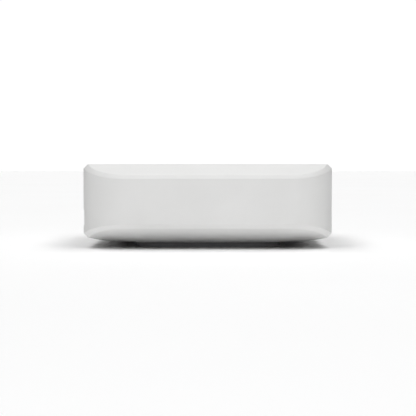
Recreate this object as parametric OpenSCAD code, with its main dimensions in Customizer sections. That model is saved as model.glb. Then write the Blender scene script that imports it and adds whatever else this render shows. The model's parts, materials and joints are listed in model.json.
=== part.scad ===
/* [Casing] */
// Width of the casing from side to side
body_w = 98; // [98:1:104]
// Depth of the casing from front to back
body_d = 98; // [98:1:104]
// Height of the flat top above the table
body_h = 32.8; // [32.8:0.2:36]
// Corner radius of the casing seen from above
corner_r = 17.5; // [17:0.5:18]
// Thickness of the moulded walls
wall_t = 2; // [1.8:0.1:2]
// Width of the chamfer round the top and bottom edges
edge_c = 1.65; // [1.5:0.05:1.65]
// Top edge of the front and back walls above the table
wall_top = 27.2; // [27.2:0.2:27.6]
// Bottom edge of the front and back walls, where the two shells meet
wall_bottom = 9.8; // [9.6:0.1:9.8]
// Bottom edge of the side walls
side_bottom = 5.7; // [5.6:0.1:5.8]
// How far the sloping faces run in from the front and back
slope_run = 13; // [12.5:0.5:13.5]
// Height of the locating lip on the bottom cover
lip_h = 1.2; // [1:0.1:1.2]

/* [Foot] */
// Width of the square rubber foot
foot_w = 58.4; // [57:0.2:59]
// Corner radius of the rubber foot
foot_r = 9.2; // [8.8:0.2:9.6]
// Thickness of the rubber foot
foot_t = 2.1; // [2:0.1:2.2]
// Height of the casing's lowest face above the table
foot_proud = 1.8; // [1.7:0.1:1.9]

/* [Main board] */
// Underside of the main board above the table
board_z = 10; // [10:0.1:10.2]
// Thickness of the main board
board_t = 1.2; // [1:0.1:1.2]
// Distance of the case screws from the middle, both ways
case_screw_at = 23; // [22.8:0.1:23]
// Thickness of the steel base weight
weight_t = 1.5; // [1.2:0.1:1.5]

/* [Sockets] */
// Distance from the back wall's face to the sockets' mouths
socket_recess = 0.6; // [0.5:0.1:0.7]
// Position of the power socket along the back
power_x = -26.5; // [-27:0.1:-26.4]
// Position of the video socket along the back
video_x = -11.5; // [-11.7:0.1:-11.3]
// Position of the optical socket along the back
optical_x = 3.5; // [3.3:0.1:3.7]
// Position of the network socket along the back
network_x = 19.5; // [19.3:0.1:19.7]
// Position of the reset button along the back
button_x = 31.2; // [31:0.1:31.4]
// Position of the data socket along the left side
data_y = -29; // [-29.2:0.1:-28.8]
// Radius of the power socket's centre pin
power_pin_r = 1.05; // [1:0.05:1.25]

/* [Moving parts] */
// Travel of the reset button
button_travel = 0.4; // [0.3:0.1:0.4]
// Height of the flap that closes the optical socket
flap_h = 7.9; // [7.6:0.1:7.9]

/* [Hidden] */
$fn = 48;

hull_fn = 40;
slip = 0.15;
half_w = body_w / 2;
half_d = body_d / 2;
slope_y = half_d - slope_run;
side_top = body_h - edge_c;
slope_top = (side_top - wall_top) / slope_run;
slope_bottom = (wall_bottom - side_bottom) / slope_run;
ceiling_z = body_h - wall_t;
floor_z = foot_proud + wall_t;

// The belly curves from the chamfer in to its flat middle, in steps of width, depth and height
belly_half = 30.5;
belly_r = 10;
belly_steps = 6;
belly_run = half_d - edge_c - belly_half;
front_rise = wall_bottom - edge_c - foot_proud;
side_rise = side_bottom - edge_c - foot_proud;
front_bend = 1.7;
side_bend = 2.2;
belly = [for (i = [0 : belly_steps - 1])
    let (t = i / belly_steps, up = front_rise * pow(t, front_bend))
    [min(half_w - wall_t - edge_c, belly_half + belly_run * pow(up / side_rise, 1 / side_bend)),
        belly_half + belly_run * t, foot_proud + up, belly_r + (corner_r - edge_c - belly_r) * t]];

tape_t = 0.2;
recess_z = foot_t + tape_t;
board_top = board_z + board_t;
board_gap = 0.5;
lip_t = 1.2;
screw_head_z = recess_z + 2.3;
mouth_y = half_d - socket_recess;
inner_y = half_d - wall_t;
inner_x = half_w - wall_t;

// Where the four board screws go
board_screw_at = [[39, 27], [-39, 27], [30, -38], [-30, -38]];
board_post_r = 2.6;
case_post_r = 3.8;
case_boss_r = 3.1;
case_hole_r = 1.45;
case_shank_r = 1.08;
case_pilot_r = 1.1;
board_shank_r = 0.83;
board_pilot_r = 0.85;
peg_at = [[14, 21], [-14, 21], [14, -21], [-14, -21]];
peg_r = 1;
weight_long = 54;
weight_short = 37;
film_t = 0.25;

// Heat stack above the processor
frame_x = 42;
frame_y = 36;
frame_h = 2.2;
frame_t = 0.4;
lid_t = 0.3;
chip_h = 1.2;
lid_top = board_top + frame_h + lid_t;
sink_w = 38;
sink_base = 2;
sink_z = lid_top + 0.5;
sink_top = sink_z + 9.4;
fin_t = 1.2;
fin_count = 9;
sink_pin_x = 23.5;
processor_x = -8;

// Sockets
video_w = 15;
video_h = 5.6;
video_len = 11.5;
metal_t = 0.4;
optical_w = 10.4;
optical_h = 10.6;
optical_len = 14.5;
optical_bore_w = 8.2;
optical_low = board_top + 1;
hinge_y = mouth_y - 1.5;
hinge_z = board_top + 9.1;
trunnion_r = 0.5;
flap_t = 0.8;
network_w = 16;
network_h = 13.4;
network_len = 18;
plug_w = 11.9;
plug_low = board_top + 2.6;
plug_high = plug_low + 6.9;
plug_depth = 13.5;
power_z = board_top + 6.3;
power_bore_r = 3.15;
power_depth = 9.5;
power_collar_r = 4;
power_w = 9;
data_w = 13.6;
data_h = 5.7;
data_len = 14;
data_z = board_top + 0.65;
data_mouth = -half_w + socket_recess;
button_z = board_top + 2.4;
button_r = 1.6;
button_flange_r = 2.4;
switch_front = half_d - 4.6;
stem_r = 0.95;

// Antennas and their leads
antenna_t = 0.25;
antenna_len = 26;
antenna_h = 9;
antenna_z = board_top + 7.9;
radio_at = [35, -17];
radio_t = 0.8;
radio_top = board_top + radio_t;
lead_r = 0.6;
tube_sides = 8;
lead_z = board_top + lead_r + 0.2;
plug_r = 1.3;
plug_h = 1.6;
plug_at = [[31.5, -21.4], [38.5, -21.4]];
plug_lead_z = radio_top + 1;
lead_left_route = [
    [-inner_x + 1.1, 0, 16.6], [-42.5, -3, 13.6], [-40, -14, lead_z], [-31.5, -24, lead_z],
    [-28, -32, lead_z], [24, -32, lead_z], [31, -28, lead_z], [31.5, -22.9, plug_lead_z]
];
lead_right_route = [
    [inner_x - 1.1, 0, 16.6], [43.4, -8, 14.1], [43.4, -16, 13.4], [42.6, -21.4, plug_lead_z],
    [40, -21.4, plug_lead_z]
];

plastic_white = "#F2F2F1";
rubber_dark = "#3A3A3C";
steel = "#A9ACB0";
nickel = "#C6C7C8";
gold = "#D6AE54";
board_green = "#1E4B36";
chip_black = "#232428";
socket_black = "#1B1B1D";

module rounded_rect(w, d, r) {
    square([w - 2 * r, d], center = true);
    square([w, d - 2 * r], center = true);
    for (sx = [-1, 1], sy = [-1, 1])
        translate([sx * (w / 2 - r), sy * (d / 2 - r)]) circle(r);
}

module slab(w, d, r, z0, z1) {
    translate([0, 0, z0]) linear_extrude(z1 - z0) rounded_rect(w, d, r);
}

module block(x0, x1, y0, y1, z0, z1) {
    translate([x0, y0, z0]) cube([x1 - x0, y1 - y0, z1 - z0]);
}

module post(x, y, r, z0, z1) {
    translate([x, y, z0]) cylinder(h = z1 - z0, r = r);
}

// A round bar along the depth of the box
module bar_y(x, z, r, y0, y1) {
    translate([x, y1, z]) rotate([90, 0, 0]) cylinder(h = y1 - y0, r = r);
}

module plan(inset) {
    rounded_rect(body_w - 2 * inset, body_d - 2 * inset, corner_r - inset);
}

// A profile of depth against height, drawn out across the whole width
module across(points) {
    rotate([90, 0, 90]) linear_extrude(2 * body_w, center = true) polygon(points);
}

// The casing's plan at one inset, between its lower and upper slopes moved by rise
module band(inset, wall, rise) {
    end_y = half_d - inset;
    low_end = wall_bottom + wall * (1 - slope_bottom) - rise;
    high_end = wall_top - wall * (1 - slope_top) + rise;
    intersection() {
        linear_extrude(body_h) plan(inset);
        across([
            [-end_y, low_end], [-slope_y, side_bottom + wall - rise],
            [slope_y, side_bottom + wall - rise], [end_y, low_end],
            [end_y, high_end], [slope_y, side_top - wall + rise],
            [-slope_y, side_top - wall + rise], [-end_y, high_end]
        ]);
    }
}

// The casing as one convex form, moved inwards by a wall thickness
module casing_form(wall) {
    hull($fn = hull_fn) {
        band(wall, wall, 0, $fn = hull_fn);
        band(wall + edge_c, wall, edge_c, $fn = hull_fn);
        for (step = belly)
            slab(2 * step[0], 2 * step[1], step[3], step[2] + wall, step[2] + wall + 0.5, $fn = hull_fn);
    }
}

// Everything above the line where the two shells meet, raised by lift
module above_joint(lift) {
    across([
        [-body_d, wall_bottom + lift], [-half_d, wall_bottom + lift],
        [-slope_y, side_bottom + lift], [slope_y, side_bottom + lift],
        [half_d, wall_bottom + lift], [body_d, wall_bottom + lift],
        [body_d, 2 * body_h], [-body_d, 2 * body_h]
    ]);
}

module at_case_screws() {
    for (sx = [-1, 1], sy = [-1, 1])
        translate([sx * case_screw_at, sy * case_screw_at, 0]) children();
}

// Openings in the walls for the sockets and the button
module wall_openings() {
    gap = 0.3;
    block(video_x - video_w / 2 - gap, video_x + video_w / 2 + gap, half_d - 4, half_d + 1,
        board_top - gap, board_top + video_h + gap);
    block(optical_x - optical_w / 2 - gap, optical_x + optical_w / 2 + gap, half_d - 4, half_d + 1,
        board_top - gap, board_top + optical_h + gap);
    block(network_x - network_w / 2 - gap, network_x + network_w / 2 + gap, half_d - 4, half_d + 1,
        board_top - gap, board_top + network_h + gap);
    bar_y(power_x, power_z, power_collar_r + gap, half_d - 4, half_d + 1);
    bar_y(button_x, button_z, button_r + 0.2, half_d - 4, half_d + 1);
    block(-half_w - 1, -half_w + 4, data_y - data_w / 2 - gap, data_y + data_w / 2 + gap,
        data_z - data_h / 2 - gap, data_z + data_h / 2 + gap);
}

module top_housing() {
    guide_r = 1.5;
    skin_t = 0.7;
    rib_t = 1.2;
    rib_z = ceiling_z - 6;
    color(plastic_white) {
        difference() {
            intersection() {
                casing_form(0);
                above_joint(0);
            }
            casing_form(wall_t);
            linear_extrude(board_top + 4) plan(wall_t);
            wall_openings();
            bar_y(0, board_top + 1.9, guide_r, -half_d + skin_t, -half_d + 4);
        }
        at_case_screws() difference() {
            union() {
                post(0, 0, case_boss_r, board_top, ceiling_z + 1);
                block(-6, 6, -rib_t / 2, rib_t / 2, rib_z, ceiling_z + 1);
                block(-rib_t / 2, rib_t / 2, -6, 6, rib_z, ceiling_z + 1);
            }
            post(0, 0, case_pilot_r, board_top - 1, board_top + 7);
        }
    }
}

module bottom_cover() {
    head_r = 2.7;
    color(plastic_white) difference() {
        union() {
            difference() {
                casing_form(0);
                casing_form(wall_t);
                above_joint(0);
            }
            difference() {
                linear_extrude(wall_bottom + lip_h) difference() {
                    plan(wall_t + slip);
                    plan(wall_t + slip + lip_t);
                }
                above_joint(lip_h);
                below_lip();
            }
            intersection() {
                union() {
                    at_case_screws() post(0, 0, case_post_r, floor_z - 1, board_z);
                    for (p = board_screw_at) post(p[0], p[1], board_post_r, 1, board_z);
                }
                casing_form(wall_t / 2);
            }
            for (p = peg_at) {
                post(p[0], p[1], peg_r, floor_z - 0.5, floor_z + weight_t + film_t + 0.1);
                post(p[0], p[1], peg_r + 0.7, floor_z + weight_t, floor_z + weight_t + 0.7);
            }
        }
        slab(foot_w + 0.6, foot_w + 0.6, foot_r + 0.3, -1, recess_z);
        at_case_screws() {
            post(0, 0, head_r, 0, screw_head_z);
            post(0, 0, case_hole_r, 0, board_z + 1);
        }
        for (p = board_screw_at) post(p[0], p[1], board_pilot_r, board_z - 4.2, board_z + 1);
    }
}

// Everything a little below the line where the two shells meet, which the lip starts from
module below_lip() {
    root = 0.5;
    across([
        [-body_d, -1], [body_d, -1], [body_d, wall_bottom - root], [half_d, wall_bottom - root],
        [slope_y, side_bottom - root], [-slope_y, side_bottom - root],
        [-half_d, wall_bottom - root], [-body_d, wall_bottom - root]
    ]);
}

module rubber_foot() {
    color(rubber_dark) slab(foot_w, foot_w, foot_r, 0, foot_t);
}

module foot_tape() {
    color("#8A8A84") difference() {
        slab(foot_w - 4, foot_w - 4, foot_r - 1, foot_t, recess_z);
        at_case_screws() post(0, 0, 2.7, 0, recess_z + 1);
    }
}

// A pan-head screw with a cross recess, head down at height z
module screw_up(z, head_r, head_h, shank_r, shank_h) {
    recess_w = 0.5;
    difference() {
        union() {
            post(0, 0, head_r, z - head_h, z);
            post(0, 0, shank_r, z, z + shank_h);
        }
        for (turn = [0, 90])
            rotate([0, 0, turn]) block(-head_r * 0.6, head_r * 0.6, -recess_w / 2, recess_w / 2,
                z - head_h - 1, z - head_h * 0.4);
    }
}

module case_screws() {
    color(steel) at_case_screws() screw_up(screw_head_z, 2.4, 2, case_shank_r, 12.2);
}

module board_screws() {
    color(steel) for (p = board_screw_at)
        translate([p[0], p[1], board_top]) rotate([180, 0, 0])
            screw_up(0, 2.1, 1.5, board_shank_r, 5);
}

// The weight's outline: a square with its corners cut back round the screw posts
module weight_outline() {
    square([weight_long, weight_short], center = true);
    square([weight_short, weight_long], center = true);
}

module base_weight() {
    color(steel) translate([0, 0, floor_z]) linear_extrude(weight_t) difference() {
        weight_outline();
        for (p = peg_at) translate(p) circle(peg_r + 0.1);
    }
}

module insulating_film() {
    color("#C9A24B") translate([0, 0, floor_z + weight_t]) linear_extrude(film_t) difference() {
        weight_outline();
        for (p = peg_at) translate(p) circle(peg_r + 1);
    }
}

module main_board() {
    edge = wall_t + board_gap + 2;
    color(board_green) difference() {
        translate([0, 0, board_z]) linear_extrude(board_t) plan(edge);
        at_case_screws() post(0, 0, 1.5, board_z - 1, board_top + 1);
        for (p = board_screw_at) post(p[0], p[1], 1.3, board_z - 1, board_top + 1);
        for (s = [-1, 1]) post(s * sink_pin_x, 0, 1.6, board_z - 1, board_top + 1);
        block(-body_w, data_mouth + data_len + 0.2, data_y - data_w / 2 - 0.2, data_y + data_w / 2 + 0.2,
            board_z - 1, board_top + 1);
    }
}

module chip(x, y, w, d, h) {
    block(x - w / 2, x + w / 2, y - d / 2, y + d / 2, board_top, board_top + h);
}

module processor() {
    color(chip_black) {
        chip(processor_x, 0, 16, 16, 0.5);
        chip(processor_x, 0, 11, 11, chip_h);
    }
}

module memory_chips() {
    color(chip_black) for (s = [-1, 1]) chip(9, s * 7.8, 9, 12, 1);
}

module storage_chip() {
    color(chip_black) chip(-34, 4, 11.5, 13, 1);
}

module power_chips() {
    color(chip_black) {
        chip(-33, -10, 5, 5, 0.9);
        chip(-12, 29, 4, 4, 0.9);
        chip(34, 2, 6, 6, 0.9);
    }
}

module board_coils() {
    color("#55565A") for (p = [[-27.5, -15.5], [-20, 30], [12, -26], [-4, -26]]) difference() {
        chip(p[0], p[1], 5, 5, 2.8);
        post(p[0], p[1], 1.7, board_top + 2.6, board_top + 3);
    }
}

module board_capacitors() {
    color("#BFC2C6") for (p = [[-35, 17], [-14.5, 23.5], [-5, 23.5], [38, 12]]) {
        chip(p[0], p[1], 6.6, 6.6, 0.8);
        post(p[0], p[1], 3.15, board_top + 0.5, board_top + 5.8);
    }
}

module clock_crystal() {
    color(nickel) translate([5, -27, 0]) slab(3.2, 5, 0.6, board_top, board_top + 1);
}

module network_transformer() {
    color(chip_black) chip(35, 20, 7.2, 8.6, 5);
}

module shield_frame() {
    color(nickel) difference() {
        chip(0, 0, frame_x, frame_y, frame_h);
        chip(0, 0, frame_x - 2 * frame_t, frame_y - 2 * frame_t, frame_h + 1);
    }
}

module shield_lid() {
    gap = 0.05;
    skirt = 1.5;
    color(nickel) difference() {
        block(-frame_x / 2 - gap - lid_t, frame_x / 2 + gap + lid_t,
            -frame_y / 2 - gap - lid_t, frame_y / 2 + gap + lid_t,
            board_top + frame_h - skirt, lid_top);
        block(-frame_x / 2 - gap, frame_x / 2 + gap, -frame_y / 2 - gap, frame_y / 2 + gap,
            board_top, board_top + frame_h);
    }
}

module chip_pad() {
    color("#8FA6C4") block(processor_x - 5.5, processor_x + 5.5, -5.5, 5.5,
        board_top + chip_h, board_top + frame_h);
}

module lid_pad() {
    color("#8FA6C4") block(-15, 15, -15, 15, lid_top, sink_z);
}

module heatsink() {
    pitch = (sink_w - fin_t) / (fin_count - 1);
    color("#B8BBC0") difference() {
        union() {
            block(-sink_w / 2, sink_w / 2, -sink_w / 2, sink_w / 2, sink_z, sink_z + sink_base);
            for (i = [0 : fin_count - 1])
                block(-sink_w / 2, sink_w / 2, -sink_w / 2 + i * pitch, -sink_w / 2 + i * pitch + fin_t,
                    sink_z + 1, sink_top);
            for (s = [-1, 1]) {
                post(s * sink_pin_x, 0, 4, sink_z, sink_z + sink_base);
                block(s * sink_pin_x - 4.5, s * sink_pin_x + 4.5, -4, 4, sink_z, sink_z + sink_base);
            }
        }
        for (s = [-1, 1]) {
            post(s * sink_pin_x, 0, 1.5, sink_z - 1, sink_top);
            post(s * sink_pin_x, 0, 3.4, sink_z + sink_base, sink_top + 1);
        }
    }
}

module heatsink_pins() {
    tip_z = board_z - 1.6;
    head_z = sink_top - 1.4;
    color("#E7E7E4") for (s = [-1, 1]) translate([s * sink_pin_x, 0, 0]) {
        post(0, 0, 1.3, tip_z, head_z);
        translate([0, 0, tip_z]) cylinder(h = 1.5, r1 = 1, r2 = 1.9);
        post(0, 0, 2.6, head_z, head_z + 1.2);
    }
}

// The points of one ring of a round tube, across the two given directions
function ring(centre, out, up, r) =
    [for (j = [0 : tube_sides - 1])
        let (a = 360 * j / tube_sides) centre + r * (cos(a) * out + sin(a) * up)];

// A closed tube through a list of rings
module tube(rings) {
    n = tube_sides;
    last = len(rings) - 1;
    walls = [for (i = [0 : last - 1], j = [0 : n - 1])
        let (k = (j + 1) % n) [i * n + j, (i + 1) * n + j, (i + 1) * n + k, i * n + k]];
    ends = [[for (j = [0 : n - 1]) j], [for (j = [n - 1 : -1 : 0]) last * n + j]];
    polyhedron([for (one = rings, p = one) p], concat(walls, ends));
}

// One coil of round wire, turning upwards
module coil(r, wire_r, z0, z1, turns) {
    steps = 16 * turns;
    tube([for (i = [0 : steps])
        let (a = 360 * turns * i / steps, out = [cos(a), sin(a), 0])
        ring(r * out + [0, 0, z0 + (z1 - z0) * i / steps], out, [0, 0, 1], wire_r)]);
}

module heatsink_springs() {
    wire_r = 0.25;
    color(steel) for (s = [-1, 1])
        translate([s * sink_pin_x, 0, 0])
            coil(2, wire_r, sink_z + sink_base + wire_r + 0.02, sink_top - 1.42 - wire_r, 5);
}

module radio_module() {
    color("#24508A") chip(radio_at[0], radio_at[1], 14, 12, radio_t);
}

module radio_can() {
    half_can_w = 6.25;
    low_y = radio_at[1] - 2.6;
    high_y = radio_at[1] + 5.6;
    can_h = 1.6;
    can_t = 0.2;
    color(nickel) translate([radio_at[0], 0, radio_top]) difference() {
        block(-half_can_w, half_can_w, low_y, high_y, 0, can_h);
        block(-half_can_w + can_t, half_can_w - can_t, low_y + can_t, high_y - can_t, -1, can_h - can_t);
    }
}

// A strip of copper on film, stuck inside a side wall
module antenna(side) {
    x0 = side * inner_x - (side > 0 ? antenna_t : 0);
    slot_z = antenna_z + 1.5;
    color("#B87A3C") difference() {
        block(x0, x0 + antenna_t, -antenna_len / 2 + 4, antenna_len / 2 + 4,
            antenna_z - antenna_h / 2, antenna_z + antenna_h / 2);
        block(x0 - 1, x0 + 2, -4, antenna_len / 2 + 1, slot_z, slot_z + 1);
        block(x0 - 1, x0 + 2, -4, -3, slot_z, antenna_z + antenna_h);
    }
}

module antenna_left() {
    antenna(-1);
}

module antenna_right() {
    antenna(1);
}

// The point at share t of the way from route point i to the next, on one smooth curve
function on_curve(route, i, t) =
    let (
        end = len(route) - 1,
        a = route[max(i - 1, 0)], b = route[i], c = route[min(i + 1, end)], d = route[min(i + 2, end)]
    )
    0.5 * (2 * b + (c - a) * t + (2 * a - 5 * b + 4 * c - d) * t * t + (3 * b - a - 3 * c + d) * t * t * t);

function unit(v) = v / norm(v);

// A thin round lead along a route
module lead(route) {
    steps = 5;
    spans = len(route) - 1;
    path = [for (i = [0 : spans * steps])
        let (k = min(floor(i / steps), spans - 1)) on_curve(route, k, i / steps - k)];
    end = len(path) - 1;
    tube([for (i = [0 : end])
        let (
            along = unit(path[min(i + 1, end)] - path[max(i - 1, 0)]),
            out = unit(cross(along, [0, 0, 1]))
        )
        ring(path[i], out, cross(out, along), lead_r)]);
}

module antenna_lead_left() {
    color("#2A2A2C") lead(lead_left_route);
}

module antenna_lead_right() {
    color("#2A2A2C") lead(lead_right_route);
}

// The press-on plugs that join the leads to the radio module
module antenna_plugs() {
    color(gold) for (p = plug_at) post(p[0], p[1], plug_r, radio_top, radio_top + plug_h);
}

module status_light() {
    color("#F4F1DC") block(-1, 1, -41.2, -40, board_top, board_top + 1.2);
}

module light_guide() {
    guide_z = board_top + 1.9;
    color("#DCE6EC") {
        bar_y(0, guide_z, 1.3, -half_d + 0.9, -41.6);
        block(-2.4, 2.4, -43.6, -41.6, board_top, guide_z);
    }
}

module power_socket() {
    collar_y = mouth_y - 1.5;
    color(socket_black) difference() {
        union() {
            block(power_x - power_w / 2, power_x + power_w / 2, mouth_y - 14.4, collar_y,
                board_top, power_z + 4.5);
            bar_y(power_x, power_z, power_collar_r, collar_y - 1, mouth_y);
        }
        bar_y(power_x, power_z, power_bore_r, mouth_y - power_depth, mouth_y + 1);
        block(power_x - 1.2, power_x + 1.2, mouth_y - power_depth, collar_y - 1,
            power_z - power_bore_r - 1, power_z);
        bar_y(power_x, power_z, power_pin_r - 0.2, mouth_y - power_depth - 3, mouth_y);
    }
}

module power_pin() {
    root_y = mouth_y - power_depth;
    color(nickel) {
        bar_y(power_x, power_z, power_pin_r, root_y, mouth_y - 1.2);
        bar_y(power_x, power_z, power_pin_r - 0.25, root_y - 3, root_y + 1);
        translate([power_x, mouth_y - 1.2, power_z]) intersection() {
            sphere(power_pin_r);
            block(-2, 2, 0, 2, -2, 2);
        }
    }
}

module power_contact() {
    slot_z = power_z - power_bore_r - 1;
    color(nickel) block(power_x - 0.9, power_x + 0.9, mouth_y - power_depth + 0.3, mouth_y - 3.2,
        slot_z, slot_z + 0.3);
}

// Outline of the video plug, narrower at its foot
module video_outline(w, h, shoulder) {
    polygon([
        [-w / 2 + shoulder, 0], [w / 2 - shoulder, 0], [w / 2, shoulder * 0.8],
        [w / 2, h], [-w / 2, h], [-w / 2, shoulder * 0.8]
    ]);
}

module video_shell() {
    color(nickel) translate([video_x, mouth_y, board_top]) rotate([90, 0, 0]) difference() {
        linear_extrude(video_len) video_outline(video_w, video_h, 1.7);
        translate([0, metal_t, -1]) linear_extrude(video_len - 0.4 + 1)
            video_outline(video_w - 2 * metal_t, video_h - 2 * metal_t, 1.5);
    }
}

module video_tongue() {
    low = board_top + 2.5;
    color(socket_black) {
        block(video_x - 5.5, video_x + 5.5, mouth_y - video_len + 0.8, mouth_y - 1.5, low, low + 1);
        block(video_x - 5.3, video_x + 5.3, mouth_y - video_len + 0.4, mouth_y - video_len + 2.2,
            board_top + metal_t, board_top + video_h - metal_t);
    }
}

module video_contacts() {
    low = board_top + 2.5;
    strip_w = 0.4;
    strip_t = 0.08;
    y0 = mouth_y - video_len + 2.2;
    y1 = mouth_y - 2.2;
    color(gold) {
        for (i = [-4.5 : 1 : 4.5])
            block(video_x + i - strip_w / 2, video_x + i + strip_w / 2, y0, y1, low + 1, low + 1 + strip_t);
        for (i = [-4 : 1 : 4])
            block(video_x + i - strip_w / 2, video_x + i + strip_w / 2, y0, y1, low - strip_t, low);
    }
}

module optical_socket() {
    high = hinge_z + 1;
    back_y = hinge_y - flap_h - 0.8;
    fibre_z = optical_low + 3.9;
    color(socket_black) difference() {
        block(optical_x - optical_w / 2, optical_x + optical_w / 2, mouth_y - optical_len, mouth_y,
            board_top, board_top + optical_h);
        block(optical_x - optical_bore_w / 2, optical_x + optical_bore_w / 2, back_y, mouth_y + 1,
            optical_low, high);
        bar_y(optical_x, fibre_z, 1.3, mouth_y - optical_len + 1, mouth_y);
        block(optical_x - 2.6, optical_x + 2.6, mouth_y - optical_len - 1, back_y - 1.8,
            fibre_z - 2.6, fibre_z + 2.6);
        translate([optical_x - optical_bore_w / 2 - 0.6, hinge_y, hinge_z]) rotate([0, 90, 0])
            cylinder(h = optical_bore_w + 1.2, r = trunnion_r + 0.05);
    }
}

// The flap hangs from its two trunnions and closes the mouth
module optical_shutter() {
    flap_w = optical_bore_w - 0.3;
    color("#242427") translate([optical_x, hinge_y, hinge_z]) {
        translate([-optical_bore_w / 2 - 0.5, 0, 0]) rotate([0, 90, 0])
            cylinder(h = optical_bore_w + 1, r = trunnion_r);
        rotate([0, 90, 0]) translate([0, 0, -flap_w / 2]) cylinder(h = flap_w, r = flap_t);
        block(-flap_w / 2, flap_w / 2, 0, flap_t, -flap_h, 0);
        block(-flap_w / 2 + 1.5, flap_w / 2 - 1.5, flap_t - 0.1, flap_t + 0.25, -flap_h + 1.5, -1.8);
    }
}

module optical_emitter() {
    fibre_z = optical_low + 3.9;
    back_y = hinge_y - flap_h - 0.8;
    color("#7A1F1F") {
        block(optical_x - 2.5, optical_x + 2.5, mouth_y - optical_len + 0.1, back_y - 1.9,
            fibre_z - 2.5, fibre_z + 2.5);
        bar_y(optical_x, fibre_z, 1, back_y - 2, back_y - 1.2);
    }
}

// The stamped cover round the network socket's plastic block
module network_shield() {
    t = 0.3;
    x0 = network_x - network_w / 2;
    x1 = network_x + network_w / 2;
    color(nickel) difference() {
        block(x0, x1, mouth_y - network_len, mouth_y, board_top, board_top + network_h);
        block(x0 + t, x1 - t, mouth_y - network_len + t, mouth_y - t,
            board_top - 1, board_top + network_h - t);
        block(network_x - plug_w / 2 - 0.4, network_x + plug_w / 2 + 0.4, mouth_y - 1, mouth_y + 1,
            board_top - 1, plug_high + 0.4);
    }
}

module network_housing() {
    t = 0.35;
    color(socket_black) difference() {
        block(network_x - network_w / 2 + t, network_x + network_w / 2 - t,
            mouth_y - network_len + t, mouth_y - t, board_top, board_top + network_h - t);
        block(network_x - plug_w / 2, network_x + plug_w / 2, mouth_y - plug_depth, mouth_y,
            plug_low, plug_high);
        for (latch = [[3.3, 1.2], [1.7, 1.9]])
            block(network_x - latch[0], network_x + latch[0], mouth_y - plug_depth, mouth_y,
                plug_low - latch[1], plug_low + 1);
        for (i = [-3.5 : 1 : 3.5])
            block(network_x + i * 1.02 - 0.3, network_x + i * 1.02 + 0.3, mouth_y - plug_depth - 1.2,
                mouth_y - 3, plug_high - 0.5, plug_high + 1.2);
    }
}

// Eight sprung wires that slope down from the roof of the plug space
module network_contacts() {
    wire = 0.36;
    color(gold) for (i = [-3.5 : 1 : 3.5])
        translate([network_x + i * 1.02 - wire / 2, mouth_y - plug_depth, plug_high]) {
            block(0, wire, -1, plug_depth - 3.6, 0.4, 0.4 + wire);
            translate([0, plug_depth - 4, 0.4]) rotate([14, 0, 0]) block(0, wire, -7, 0.1, 0, wire);
        }
}

module data_shell() {
    t = 0.35;
    y0 = data_y - data_w / 2;
    y1 = data_y + data_w / 2;
    z0 = data_z - data_h / 2;
    z1 = data_z + data_h / 2;
    color(nickel) difference() {
        block(data_mouth, data_mouth + data_len, y0, y1, z0, z1);
        block(data_mouth - 1, data_mouth + data_len - t, y0 + t, y1 - t, z0 + t, z1 - t);
        for (s = [-1, 1])
            translate([0, data_y + s * 3.2, 0])
                block(data_mouth + 4, data_mouth + 8, -1, 1, z1 - 1, z1 + 1);
    }
}

module data_tongue() {
    high = data_z + 1.9;
    color("#E9E9E6") {
        block(data_mouth + 1.2, data_mouth + data_len - 0.5, data_y - 5.6, data_y + 5.6, high - 1.9, high);
        block(data_mouth + data_len - 2.4, data_mouth + data_len - 0.4, data_y - 6.3, data_y + 6.3,
            data_z - 2.4, data_z + 2.4);
    }
}

module data_contacts() {
    under = data_z;
    color(gold) for (y = [-3.5, -1, 1, 3.5])
        block(data_mouth + 2, data_mouth + data_len - 2.4, data_y + y - 0.5, data_y + y + 0.5,
            under - 0.12, under);
}

module reset_switch() {
    color("#3C3C40") difference() {
        block(button_x - 2.3, button_x + 2.3, switch_front - 3.4, switch_front,
            board_top, board_top + 4.2);
        bar_y(button_x, button_z, stem_r + 0.15, switch_front - 1.6 - button_travel, switch_front + 1);
    }
}

module switch_stem() {
    color("#8C2F2A") bar_y(button_x, button_z, stem_r, switch_front - 1.4, inner_y - 1.15);
}

module reset_button() {
    color(plastic_white) {
        bar_y(button_x, button_z, button_r, inner_y - 0.5, half_d - 0.2);
        bar_y(button_x, button_z, button_flange_r, inner_y - 1.1, inner_y - 0.3);
    }
}

top_housing();
bottom_cover();
rubber_foot();
foot_tape();
case_screws();
base_weight();
insulating_film();
main_board();
board_screws();
processor();
memory_chips();
storage_chip();
power_chips();
board_coils();
board_capacitors();
clock_crystal();
network_transformer();
shield_frame();
shield_lid();
chip_pad();
lid_pad();
heatsink();
heatsink_pins();
heatsink_springs();
radio_module();
radio_can();
antenna_left();
antenna_right();
antenna_lead_left();
antenna_lead_right();
antenna_plugs();
status_light();
light_guide();
power_socket();
power_pin();
power_contact();
video_shell();
video_tongue();
video_contacts();
optical_socket();
optical_shutter();
optical_emitter();
network_shield();
network_housing();
network_contacts();
data_shell();
data_tongue();
data_contacts();
reset_switch();
switch_stem();
reset_button();
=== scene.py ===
# %% [markdown]
# # A streaming media player, from its frame to its finish
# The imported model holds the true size, place and motion of every piece. This lesson builds the
# looks around it: a white casing in two shells, a rubber foot, the sockets at the back and side,
# and the board inside. Shapes are drawn in millimetres, which read easily, and each piece is
# turned to metres when it is done.

# %% Load the frame
import json
import math
import random

import bmesh
import bpy
from mathutils import Matrix, Vector

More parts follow.
